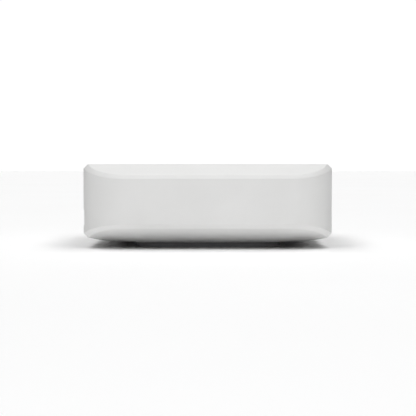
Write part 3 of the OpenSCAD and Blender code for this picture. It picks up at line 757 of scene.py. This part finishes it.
def cover_tools():
    """Counterbored holes for the case screws and pilot holes for the board's."""
    bm = bmesh.new()
    for x, y in CASE_SCREW_SPOTS:
        turned(bm, [(0, 0), (2.7, 0), (2.7, CASE_SCREW_Z), (1.45, CASE_SCREW_Z),
                    (1.45, BOARD_LOW.z + 1), (0, BOARD_LOW.z + 1)], (x, y, 0), steps=36)
    for x, y in BOARD_SCREW_SPOTS:
        turned(bm, [(0, BOARD_LOW.z - 4.2), (0.85, BOARD_LOW.z - 4.0), (0.85, BOARD_LOW.z - 0.3),
                    (1.25, BOARD_LOW.z + 0.1), (1.25, BOARD_LOW.z + 1), (0, BOARD_LOW.z + 1)],
               (x, y, 0), steps=24)
    return bm


cover = combine(bottom_shell(), combine(posts(), dish_room(), "INTERSECT"), "UNION")
cover = combine(cover, cover_tools(), "DIFFERENCE")
piece(cover, "bottom_cover_dish", ["bottom_cover"], even=True)

# %% [markdown]
# ## Rubber foot
# One square pad of rubber is stuck into the recess of the belly. It is moulded with a small radius
# round its sole, so it meets the table with a fine dark line, and a shallow step inside its edge
# gives the sole a rim that grips.


# %% Foot pad
FOOT_CORNER_R = 9.2
EDGE_SOFT = 0.22


def foot_pad():
    """The rubber pad, with its sole stepped in and its rims rounded."""
    low, high = box_mm("rubber_foot")
    bm = bmesh.new()
    top = rounded_square(bm, high.x, high.y, FOOT_CORNER_R, 20)
    bmesh.ops.translate(bm, vec=(0, 0, high.z), verts=top.verts[:])
    body = bmesh.ops.extrude_face_region(bm, geom=bm.faces[:], use_keep_orig=True)["geom"]
    lowered = [g for g in body if isinstance(g, bmesh.types.BMVert)]
    bmesh.ops.translate(bm, vec=(0, 0, low.z - high.z), verts=lowered)
    sole = next(f for f in bm.faces if all(v in lowered for v in f.verts))
    bmesh.ops.inset_individual(bm, faces=[sole], thickness=3.0, depth=0, use_even_offset=True)
    bmesh.ops.inset_individual(bm, faces=[sole], thickness=0.25, depth=0.25, use_even_offset=True)
    rims = [e for e in bm.edges if e.calc_face_angle(0) > math.radians(60)]
    bmesh.ops.bevel(bm, geom=rims, offset=EDGE_SOFT, offset_type="OFFSET", affect="EDGES", segments=4,
                    profile=0.5, material=-1)
    return bm


piece(foot_pad(), "foot_sole", ["rubber_foot"], even=True)

# %% [markdown]
# ## Softened pieces
# Pieces that are moulded, stamped or pressed leave their tools with small radii, and those catch
# the light. Where the frame's shape is right but its edges are knife-sharp, a copy of the node is
# merged back from loose triangles to flat faces, and its sharp edges are bevelled.


# %% Softened copies of nodes
def merged(node):
    """A node's mesh in millimetres, with its loose triangles merged to flat faces."""
    bm = bmesh.new()
    bm.from_mesh(frame["nodes"][node].data)
    bmesh.ops.scale(bm, vec=(1 / MM, 1 / MM, 1 / MM), verts=bm.verts)
    bmesh.ops.remove_doubles(bm, verts=bm.verts[:], dist=1e-3)
    bmesh.ops.dissolve_limit(bm, angle_limit=math.radians(1), use_dissolve_boundaries=False,
                             verts=bm.verts[:], edges=bm.edges[:])
    return bm


def soften(bm, radius, sharp_deg=35, steps=2):
    """Bevels every sharp edge of a bmesh. Returns the bmesh."""
    sharp = [e for e in bm.edges if e.is_manifold and e.calc_face_angle(0) > math.radians(sharp_deg)]
    bmesh.ops.bevel(bm, geom=sharp, offset=radius, offset_type="OFFSET", affect="EDGES",
                    segments=steps, profile=0.5, material=-1, clamp_overlap=True)
    return bm


def softened(node, name, radius, body="casing"):
    """Finishes a softened copy of a node as a piece."""
    piece(soften(merged(node), radius), name, [node], body)


def stamped(source, matrices):
    """One copy of the source for each matrix, in one bmesh."""
    mesh = bpy.data.meshes.new("stamp")
    source.to_mesh(mesh)
    source.free()
    bm = bmesh.new()
    for matrix in matrices:
        start = len(bm.verts)
        bm.from_mesh(mesh)
        bm.verts.ensure_lookup_table()
        bmesh.ops.transform(bm, matrix=matrix, verts=bm.verts[start:])
    bpy.data.meshes.remove(mesh)
    return bm


# %% [markdown]
# ## Weight and screws
# A steel plate keeps the light box from sliding when leads are plugged in. It is blanked from zinc
# plated sheet, so its rim has a small radius. The screws are pan-heads with a cross recess. Their
# threads are one fine helix: a lathe-turned shank has many rows of points, and each point is drawn
# in or out by how far round and how far down it lies.

# %% Weight plate and screws
softened("base_weight", "weight_plate", 0.25)


def screw(head_r, head_h, shank_r, length, pitch):
    """One screw, with its head up from zero and its thread below."""
    bm = bmesh.new()
    head = rounded([(0, head_h), (head_r * 0.72, head_h), (head_r, head_h * 0.5), (head_r, 0),
                    (shank_r, 0)], head_h * 0.3)
    rows = round(length / pitch * 6)
    shank = [(shank_r, -length * i / rows) for i in range(1, rows + 1)]
    for v in turned(bm, head + shank + [(0, -length)], (0, 0, 0), steps=24):
        if v.co.z < -0.3:
            turns = v.co.z / pitch + math.atan2(v.co.y, v.co.x) / math.tau
            wave = abs(turns % 1.0 - 0.5) * 2
            tip = min(1.0, (length + v.co.z) / (2 * pitch))
            v.co.xy *= (0.76 + 0.24 * wave) * (0.6 + 0.4 * tip)
    for turn in (0, math.pi / 2):
        tool = bmesh.new()
        blade = box(tool, (-head_r * 0.6, -0.24, head_h * 0.35), (head_r * 0.6, 0.24, head_h + 0.6))
        foot = [v for v in blade if v.co.z < head_h * 0.5]
        bmesh.ops.scale(tool, vec=(0.45, 0.7, 1), verts=foot)
        bmesh.ops.rotate(tool, matrix=Matrix.Rotation(turn, 3, "Z"), verts=blade)
        bm = combine(bm, tool, "DIFFERENCE")
    return bm


def set_screws(name, node, spots, head_z, flip, *sizes):
    """Screws at the spots, with the underside of their heads at head_z. flip turns heads down."""
    turn = Matrix.Rotation(math.pi if flip else 0, 4, "X")
    bm = stamped(screw(*sizes), [Matrix.Translation((x, y, head_z)) @ turn for x, y in spots])
    piece(bm, name, [node], smooth_deg=40)


set_screws("case_screw_set", "case_screws", CASE_SCREW_SPOTS, CASE_SCREW_Z, True,
           2.4, SCREW_HEAD_H, 1.08, 12.2, 0.9)
set_screws("board_screw_set", "board_screws", BOARD_SCREW_SPOTS, BOARD_TOP, False,
           2.1, 1.5, 0.83, 5.0, 0.7)

# %% [markdown]
# ## Chips and power parts
# The processor is a thin square package with its die cap raised in the middle. Memory and storage
# are plain pressed slabs. The coils are ferrite blocks with a round dimple, and the tall capacitors
# are drawn cans, crimped near the foot and held by a plastic base with two cut corners.

# %% Chips, coils and the transformer
softened("processor", "processor_package", 0.06)
softened("memory_chips", "memory_pair", 0.06)
softened("storage_chip", "storage_package", 0.06)
softened("power_chips", "power_set", 0.05)
softened("network_transformer", "transformer_block", 0.15)
softened("board_coils", "coil_blocks", 0.18)
softened("clock_crystal", "crystal_can", 0.12)
softened("status_light", "light_package", 0.08)


# Each run of a leg: its two distances from the block, then its two levels above the board.
LEG_BENDS = ((0, 0.55, 1.6, 1.75), (0.42, 0.56, 0.1, 1.7), (0.45, 1.05, 0, 0.14))
LEG_HALF = 0.2


def gull_legs():
    """The transformer's legs, bent down to the board along its two long sides."""
    low, high = box_mm("network_transformer")
    bm = bmesh.new()
    legs = 6
    for side in (-1, 1):
        edge = high.x if side > 0 else low.x
        for i in range(legs):
            y = low.y + (high.y - low.y) * (i + 0.5) / legs
            for near, far, foot, head in LEG_BENDS:
                ends = sorted((edge + side * near, edge + side * far))
                box(bm, (ends[0], y - LEG_HALF, BOARD_TOP + foot),
                    (ends[1], y + LEG_HALF, BOARD_TOP + head))
    return bm


piece(gull_legs(), "transformer_legs", [], slot="plated_metal")


# %% Capacitors
def can():
    """One drawn can with its crimp, standing on zero."""
    return lathed(rounded([(0, 5.8), (3.15, 5.8), (3.15, 2.2), (2.9, 1.85), (3.15, 1.5),
                           (3.15, 0.8), (0, 0.8)], 0.35))


def can_base():
    """One plastic base, a square with two corners cut."""
    bm = bmesh.new()
    box(bm, (-3.3, -3.3, 0), (3.3, 3.3, 1.15))
    cut = [e for e in bm.edges if all(v.co.x > 0 for v in e.verts) and
           abs(e.verts[0].co.z - e.verts[1].co.z) > 1]
    bmesh.ops.bevel(bm, geom=cut, offset=1.1, offset_type="OFFSET", affect="EDGES", segments=1,
                    profile=0.5, material=-1)
    return soften(bm, 0.12)


def standing(node, z):
    """A matrix for each solid of a node, that stands a copy at its middle on level z."""
    return [Matrix.Translation((*middle_of(pair).xy, z)) for pair in solids_mm(node)]


CAPACITORS = standing("board_capacitors", BOARD_TOP)
piece(stamped(can(), CAPACITORS), "capacitor_cans", ["board_capacitors"])
piece(stamped(can_base(), CAPACITORS), "capacitor_bases", [], slot="socket_plastic")

# %% [markdown]
# ## Shield, heatsink, pins and springs
# A stamped can keeps the processor's noise in, and a soft pad under it carries the heat up to the
# heatsink. Two nylon pins snap through the board, and a coil spring under each head keeps the
# heatsink pressed down. A spring is a small circle spun round the pin while it climbs.

# %% Shield, heatsink, pins and springs
softened("shield_frame", "shield_fence", 0.08)
softened("shield_lid", "shield_cover", 0.15)
softened("chip_pad", "chip_gap_pad", 0.2)
softened("lid_pad", "lid_gap_pad", 0.12)
softened("heatsink", "heatsink_fins", 0.16)


def spring():
    """One coil spring, on the line x = 0, y = 0 and at its true level."""
    low, high = box_mm("heatsink_springs")
    wire_r, turns, steps = 0.25, 5, 28
    coil_r = (high.x - middle_of(solids_mm("heatsink_springs")[-1]).x) - wire_r
    rise = high.z - low.z - 2 * wire_r
    bm = bmesh.new()
    ring = bmesh.ops.create_circle(bm, cap_ends=False, radius=wire_r, segments=12)["verts"]
    place = Matrix.Translation((coil_r, 0, low.z + wire_r)) @ Matrix.Rotation(math.pi / 2, 4, "X")
    bmesh.ops.transform(bm, matrix=place, verts=ring)
    bmesh.ops.spin(bm, geom=bm.verts[:] + bm.edges[:], cent=(0, 0, 0), axis=(0, 0, 1),
                   dvec=(0, 0, rise / (turns * steps)), angle=math.tau * turns, steps=turns * steps,
                   use_duplicate=False)
    bmesh.ops.holes_fill(bm, edges=[e for e in bm.edges if e.is_boundary], sides=0)
    return bm


def push_pin():
    """One pin: a flat head, a shank, and a barbed tip that is slit to let it squeeze through."""
    low, high = box_mm("heatsink_pins")
    pin = lathed(rounded([(0, high.z), (2.6, high.z), (2.6, high.z - 1.2), (1.3, high.z - 1.2),
                          (1.3, low.z + 1.7), (1.85, low.z + 1.45), (0.9, low.z), (0, low.z)], 0.2),
                 steps=32)
    slit = bmesh.new()
    box(slit, (-0.25, -3, low.z - 1), (0.25, 3, low.z + 3.4))
    return combine(pin, slit, "DIFFERENCE")


PINS = [Matrix.Translation((middle_of(pair).x, 0, 0)) for pair in solids_mm("heatsink_pins")]
piece(stamped(spring(), PINS), "spring_pair", ["heatsink_springs"])
piece(stamped(push_pin(), PINS), "push_pin_pair", ["heatsink_pins"])

# %% [markdown]
# ## Radio and antenna leads
# The radio sits on its own small blue board under a stamped can. Thin coaxial leads join it to the
# copper foils on the side walls through press-on plugs. Each lead keeps one smooth route: a circle
# is extruded from point to point, and turned a little each time so that it always faces along.

# %% Radio, plugs and leads
softened("radio_module", "radio_board", 0.08)
softened("radio_can", "radio_cover", 0.15)
RADIO_TOP = box_mm("radio_module")[1].z
LEAD_R = 0.6


def press_plug():
    """One plug, turned, standing on zero."""
    return lathed(rounded([(0, 1.6), (1.15, 1.6), (1.3, 1.4), (1.3, 0.5), (1.05, 0.35),
                           (1.05, 0), (0, 0)], 0.12), steps=32)


def swept(bm, route, r, per_span=7, sides=14):
    """A round sheath along one smooth curve through the route's points."""
    spans = len(route) - 1
    points = []
    for i in range(spans * per_span + 1):
        k = min(i // per_span, spans - 1)
        t = i / per_span - k
        a, b, c, d = (Vector(route[max(0, min(spans, k + j))]) for j in (-1, 0, 1, 2))
        points.append(0.5 * (2 * b + (c - a) * t + (2 * a - 5 * b + 4 * c - d) * t * t
                             + (3 * b - a - 3 * c + d) * t ** 3))
    verts = bmesh.ops.create_circle(bm, cap_ends=False, radius=r, segments=sides)["verts"]
    ring = list({e for v in verts for e in v.link_edges})
    heading = Vector((0, 0, 1))
    spot = Vector((0, 0, 0))
    for i, point in enumerate(points):
        if i:
            made = bmesh.ops.extrude_edge_only(bm, edges=ring)["geom"]
            verts = [g for g in made if isinstance(g, bmesh.types.BMVert)]
            ring = [g for g in made if isinstance(g, bmesh.types.BMEdge)]
        ahead = (points[min(i + 1, len(points) - 1)] - points[max(i - 1, 0)]).normalized()
        turn = heading.rotation_difference(ahead).to_matrix().to_4x4()
        bmesh.ops.transform(bm, matrix=Matrix.Translation(point) @ turn @ Matrix.Translation(-spot),
                            verts=verts)
        heading, spot = ahead, point
    bmesh.ops.holes_fill(bm, edges=[e for e in bm.edges if e.is_boundary], sides=0)
    return bm


LEAD_Z = BOARD_TOP + LEAD_R + 0.2
PLUG_Z = RADIO_TOP + 1
WALL_X = HALF - WALL - 1.1
LEFT_ROUTE = [(-WALL_X, 0, 16.6), (-42.5, -3, 13.6), (-40, -14, LEAD_Z), (-31.5, -24, LEAD_Z),
              (-28, -32, LEAD_Z), (24, -32, LEAD_Z), (31, -28, LEAD_Z), (31.5, -22.9, PLUG_Z)]
RIGHT_ROUTE = [(WALL_X, 0, 16.6), (43.4, -8, 14.1), (43.4, -16, 13.4), (42.6, -21.4, PLUG_Z),
               (40, -21.4, PLUG_Z)]
piece(stamped(press_plug(), standing("antenna_plugs", RADIO_TOP)), "press_plugs", ["antenna_plugs"])
for side, route in (("left", LEFT_ROUTE), ("right", RIGHT_ROUTE)):
    piece(swept(bmesh.new(), route, LEAD_R), f"coaxial_lead_{side}", [f"antenna_lead_{side}"])

# %% [markdown]
# ## Power socket
# The power plug is a round barrel, so its socket is a block with a round collar that fills the
# hole in the wall. The centre pin is turned with a domed tip, and a sprung leaf lies in a slot
# below it.

# %% Power socket, pin and leaf
softened("power_socket", "power_socket_block", 0.18)
FULL_PIN_LENGTH = 9.35


def centre_pin():
    """The power plug's pin, slim at the root, with a domed tip."""
    low, high = box_mm("power_pin")
    mid = middle_of((low, high))
    r = (high.x - low.x) / 2
    step_y = high.y - FULL_PIN_LENGTH
    dome = [(r * math.cos(math.radians(a)), high.y - r + r * math.sin(math.radians(a)))
            for a in range(0, 91, 10)]
    line = [(0, low.y), (r - 0.25, low.y), (r - 0.25, step_y), (r, step_y)] + dome
    return lathed(line, (mid.x, 0, mid.z), BACK)


piece(centre_pin(), "power_centre_pin", ["power_pin"])
softened("power_contact", "power_leaf", 0.08)

# %% [markdown]
# ## Video, network and data sockets
# Their shells are folded from nickel-plated strip, so the corners have small bend radii. Inside
# are black or ivory plastic tongues with gold contacts. Sprung fingers, pressed out of the shells,
# grip the plugs.


# %% Folded shells, tongues and fingers
softened("video_shell", "video_socket_shell", 0.14)
softened("video_tongue", "video_socket_tongue", 0.1)
softened("network_shield", "network_socket_cover", 0.12)
softened("network_housing", "network_socket_block", 0.12)
softened("data_shell", "data_socket_shell", 0.14)
softened("data_tongue", "data_socket_tongue", 0.1)


def finger(bm, root, along, inward, length, width, lift, thick=0.2):
    """A sprung finger that leaves a shell at root, runs along it and bows inward in the middle."""
    root, along, inward = Vector(root), Vector(along), Vector(inward)
    across = along.cross(inward)
    start = len(bm.verts)
    edges = {e for v in box(bm, (0, -width / 2, 0), (length, width / 2, thick)) for e in v.link_edges}
    runs = [e for e in edges if abs(e.verts[0].co.x - e.verts[1].co.x) > length / 2]
    bmesh.ops.subdivide_edges(bm, edges=runs, cuts=7, use_grid_fill=True)
    bm.verts.ensure_lookup_table()
    for v in bm.verts[start:]:
        bow = lift * math.sin(math.pi * min(1.0, v.co.x / length * 1.15)) + 0.05
        v.co = root + along * v.co.x + across * v.co.y + inward * (v.co.z + bow)


def shell_fingers():
    """The fingers of the video, data and network shells, in one bmesh."""
    low, high = box_mm("video_shell")
    bm = bmesh.new()
    wall = 0.4
    for x in (-3.4, 3.4):
        for z, inward in ((high.z - wall, (0, 0, -1)), (low.z + wall, (0, 0, 1))):
            centre_x = (low.x + high.x) / 2
            finger(bm, (centre_x + x, high.y - 1.6, z), (0, -1, 0), inward, 5.5, 1.6, 0.45)
    low, high = box_mm("data_shell")
    wall = 0.35
    mid_y = (low.y + high.y) / 2
    for y in (-3.2, 3.2):
        finger(bm, (low.x + 1.6, mid_y + y, high.z - wall), (1, 0, 0), (0, 0, -1), 5.5, 1.7, 0.4)
        finger(bm, (low.x + 1.6, mid_y + y, low.z + wall), (1, 0, 0), (0, 0, 1), 5.5, 1.7, 0.5)
    low, high = box_mm("network_shield")
    for x, side in ((low.x, 1), (high.x, -1)):
        for z in (low.z + 4.5, low.z + 9.0):
            root = (x, high.y - 2.2, z)
            finger(bm, root, (0, -1, 0), (-side, 0, 0), 4.5, 2.0, 0.22, 0.15)
    return bm


piece(shell_fingers(), "sprung_fingers", [], slot="plated_metal")

# %% [markdown]
# ## Optical socket and its flap
# Light leaves through a small window deep in a black socket. A flap hangs from two trunnions and
# keeps dust and stray light out; the plug pushes it up and back. The flap is a piece of its own
# and rides on its own body, so it swings.

# %% Optical socket, flap and emitter
softened("optical_socket", "optical_socket_block", 0.12)
softened("optical_emitter", "optical_emitter_block", 0.1)
softened("optical_shutter", "optical_flap", 0.1, "optical_shutter")


# %% [markdown]
# ## Reset button and switch
# The button is a small white plunger with a flange that keeps it in the wall. Its face is dished,
# so that a fingertip finds it. It presses the stem of a tiny switch on the board.


# %% Button, switch and stem
def plunger():
    """The button, with a flange at its root and a dished face."""
    low, high = box_mm("reset_button")
    mid = middle_of((low, high))
    flange_r, cap_r = (high.x - low.x) / 2, 1.6
    line = rounded([(0, low.y), (flange_r, low.y), (flange_r, low.y + 0.8), (cap_r, low.y + 0.8),
                    (cap_r, high.y), (0.9, high.y - 0.06), (0, high.y - 0.14)], 0.16, 4)
    return lathed(line, (mid.x, 0, mid.z), BACK, steps=48)


piece(plunger(), "reset_plunger", ["reset_button"], body="reset_button")
softened("switch_stem", "switch_plunger", 0.12, "reset_button")
softened("reset_switch", "switch_block", 0.15)

# %% [markdown]
# ## Board and its small parts
# Between the large parts the board is strewn with tiny capacitors and resistors, each a block with
# a tinned cap at both ends. They are placed in rows by a seeded draw, clear of everything that
# stands on the board. Gold rings lie round the screw holes, to earth the board.


# %% Small parts in free places
def free_spots(count, pitch, room):
    """Places for small parts, drawn from a grid, clear of all that stands on the board."""
    taken = []
    for node in SLOT_OF:
        if node.startswith("antenna_lead") or node in ("main_board", "top_housing", "bottom_cover"):
            continue
        taken += [pair for pair in solids_mm(node) if pair[0].z < BOARD_TOP + 0.5 < pair[1].z]
    reach = Vector((3.4, 3.4, 0))
    for x, y in CASE_SCREW_SPOTS + BOARD_SCREW_SPOTS:
        taken.append((Vector((x, y, 0)) - reach, Vector((x, y, 0)) + reach))
    steps = 12
    for route in (LEFT_ROUTE, RIGHT_ROUTE):
        for a, b in zip(route, route[1:]):
            for i in range(steps):
                spot = Vector(a).lerp(Vector(b), i / steps)
                taken.append((spot - reach / 3, spot + reach / 3))
    half = BOARD_HIGH.x - 1.5
    corner_r = 12
    found = []
    cells = int(2 * half / pitch)
    for i in range(cells):
        for j in range(cells):
            x, y = -half + (i + 0.5) * pitch, -half + (j + 0.5) * pitch
            in_corner = Vector((max(abs(x) - half + corner_r, 0), max(abs(y) - half + corner_r, 0)))
            blocked = any(a.x - room < x < b.x + room and a.y - room < y < b.y + room
                          for a, b in taken)
            if in_corner.length < corner_r and not blocked:
                found.append((x, y))
    return draws.sample(found, min(count, len(found)))


draws = random.Random(7)
SMALL = [Matrix.Translation((x, y, BOARD_TOP))
         @ Matrix.Rotation(draws.choice((0, math.pi / 2)), 4, "Z")
         for x, y in free_spots(230, 2.1, 1.0)]


def block_and_caps(size, cap):
    """A small part's body and its two end caps, as two bmeshes."""
    body, caps = bmesh.new(), bmesh.new()
    x, y, z = size
    box(body, (-x / 2 + cap / 2, -y / 2 + 0.02, 0.02), (x / 2 - cap / 2, y / 2 - 0.02, z - 0.03))
    for side in (-1, 1):
        ends = sorted((side * x / 2, side * (x / 2 - cap)))
        box(caps, (ends[0], -y / 2, 0), (ends[1], y / 2, z))
    return soften(body, 0.04, steps=1), soften(caps, 0.05, steps=1)


FINISH["ceramic"] = finish("fired ceramic, tan", "A98B62", "BFA27A", 1.5, (0.45, 0.6), 0.1, 0.003,
                           IOR=1.6)
split = len(SMALL) // 2
for name, size, cap, spots, look in (
        ("ceramic_capacitor", (1.6, 0.8, 0.8), 0.36, SMALL[:split], "ceramic"),
        ("chip_resistor", (1.6, 0.8, 0.45), 0.3, SMALL[split:], "chip")):
    body, caps = block_and_caps(size, cap)
    piece(stamped(body, spots), f"{name}_bodies", [], slot="chip", look=look)
    piece(stamped(caps, spots), f"{name}_caps", [], slot="plated_metal")


def earth_rings():
    """Thin rings of gold round the board's screw holes."""
    bm = bmesh.new()
    thin = 0.04
    for spots, r in ((CASE_SCREW_SPOTS, 1.5), (BOARD_SCREW_SPOTS, 1.3)):
        for x, y in spots:
            turned(bm, [(r, BOARD_TOP), (r + 1.6, BOARD_TOP), (r + 1.6, BOARD_TOP + thin),
                        (r, BOARD_TOP + thin), (r, BOARD_TOP)], (x, y, 0), steps=36)
    return bm


piece(earth_rings(), "earth_rings", [], slot="gold_contact")

# %% [markdown]
# ## Pieces kept from the frame
# Nodes whose shape is already right stay as they are, and only take on their finish.

# %% Finishes of the kept nodes
kept = [name for name, node in frame["nodes"].items() if not node.hide_render]
for name in kept:
    for place in frame["nodes"][name].material_slots:
        place.material = FINISH[SLOT_OF[name]]
print("kept from the frame:", ", ".join(sorted(kept)))

# %% [markdown]
# ## Floor and light
# The player stands on a white paper sweep that is lit more strongly than the player itself, so
# the paper goes fully white and only the soft shadow under the casing stays. In a studio, flags
# and extra lamps do that. Here each soft light is linked either to the paper or to the player.
# The lights are far off and broad, so their shadows have wide, soft edges.

# %% Floor
sweep = bmesh.new()
bmesh.ops.create_grid(sweep, x_segments=1, y_segments=1, size=5.0)
floor_mesh = bpy.data.meshes.new("paper_sweep")
sweep.to_mesh(floor_mesh)
sweep.free()
floor = bpy.data.objects.new("paper_sweep", floor_mesh)
bpy.context.scene.collection.objects.link(floor)
floor_mesh.materials.append(finish("matt white paper", "F8F8F8", "FAFAFA", 200, (0.9, 0.95), 0.4,
                                   0.01, IOR=1.3))

# %% World and soft lights
world = bpy.data.worlds.new("white studio")
world.use_nodes = True
bpy.context.scene.world = world
tree = world.node_tree
tree.nodes.clear()
rays = add(tree, "LightPath")
seen = add(tree, "Background", Color=colour("FFFFFF"), Strength=1.02)
unlit = add(tree, "Background", Color=colour("FFFFFF"), Strength=0.0)
both = add(tree, "MixShader", Fac=(rays, "Is Camera Ray"))
tree.links.new(unlit.outputs["Background"], both.inputs[1])
tree.links.new(seen.outputs["Background"], both.inputs[2])
add(tree, "OutputWorld", Surface=(both, "Shader"))
bpy.context.scene.view_settings.view_transform = "Standard"

PAPER_LIT = bpy.data.collections.new("lit with the paper")
PAPER_LIT.objects.link(floor)
PLAYER_LIT = bpy.data.collections.new("lit with the player")
for made in bpy.data.objects:
    if made.type == "MESH" and made is not floor:
        PLAYER_LIT.objects.link(made)


def soft_light(name, turned_deg, raised_deg, breadth_deg, strength, receivers):
    """A broad, distant light. turned_deg is 0 from the front and 180 from behind."""
    data = bpy.data.lights.new(name, "SUN")
    data.angle = math.radians(breadth_deg)
    data.energy = strength * math.pi
    lamp = bpy.data.objects.new(name, data)
    turned_by, raised = math.radians(turned_deg), math.radians(raised_deg)
    towards = Vector((math.sin(turned_by) * math.cos(raised), -math.cos(turned_by) * math.cos(raised),
                      math.sin(raised)))
    lamp.rotation_euler = towards.to_track_quat("Z", "Y").to_euler()
    lamp.light_linking.receiver_collection = receivers
    bpy.context.scene.collection.objects.link(lamp)


for name, turned_deg, raised_deg, breadth_deg, strength, receivers in (
        ("paper overhead light", 0, 90, 50, 0.16, PAPER_LIT),
        ("paper front corner light", 45, 55, 30, 0.255, PAPER_LIT),
        ("paper side light", 90, 60, 40, 0.06, PAPER_LIT),
        ("paper back corner light", 135, 60, 30, 0.215, PAPER_LIT),
        ("low front light", 0, 10, 16, 0.075, PLAYER_LIT),
        ("front light", 0, 35, 40, 0.24, PLAYER_LIT),
        ("overhead light", 0, 90, 60, 0.5, PLAYER_LIT),
        ("back light", 180, 60, 40, 0.28, PLAYER_LIT)):
    sides = (1, -1) if turned_deg in (45, 90, 135) else (1,)
    for side in sides:
        soft_light(name, turned_deg * side, raised_deg, breadth_deg, strength, receivers)
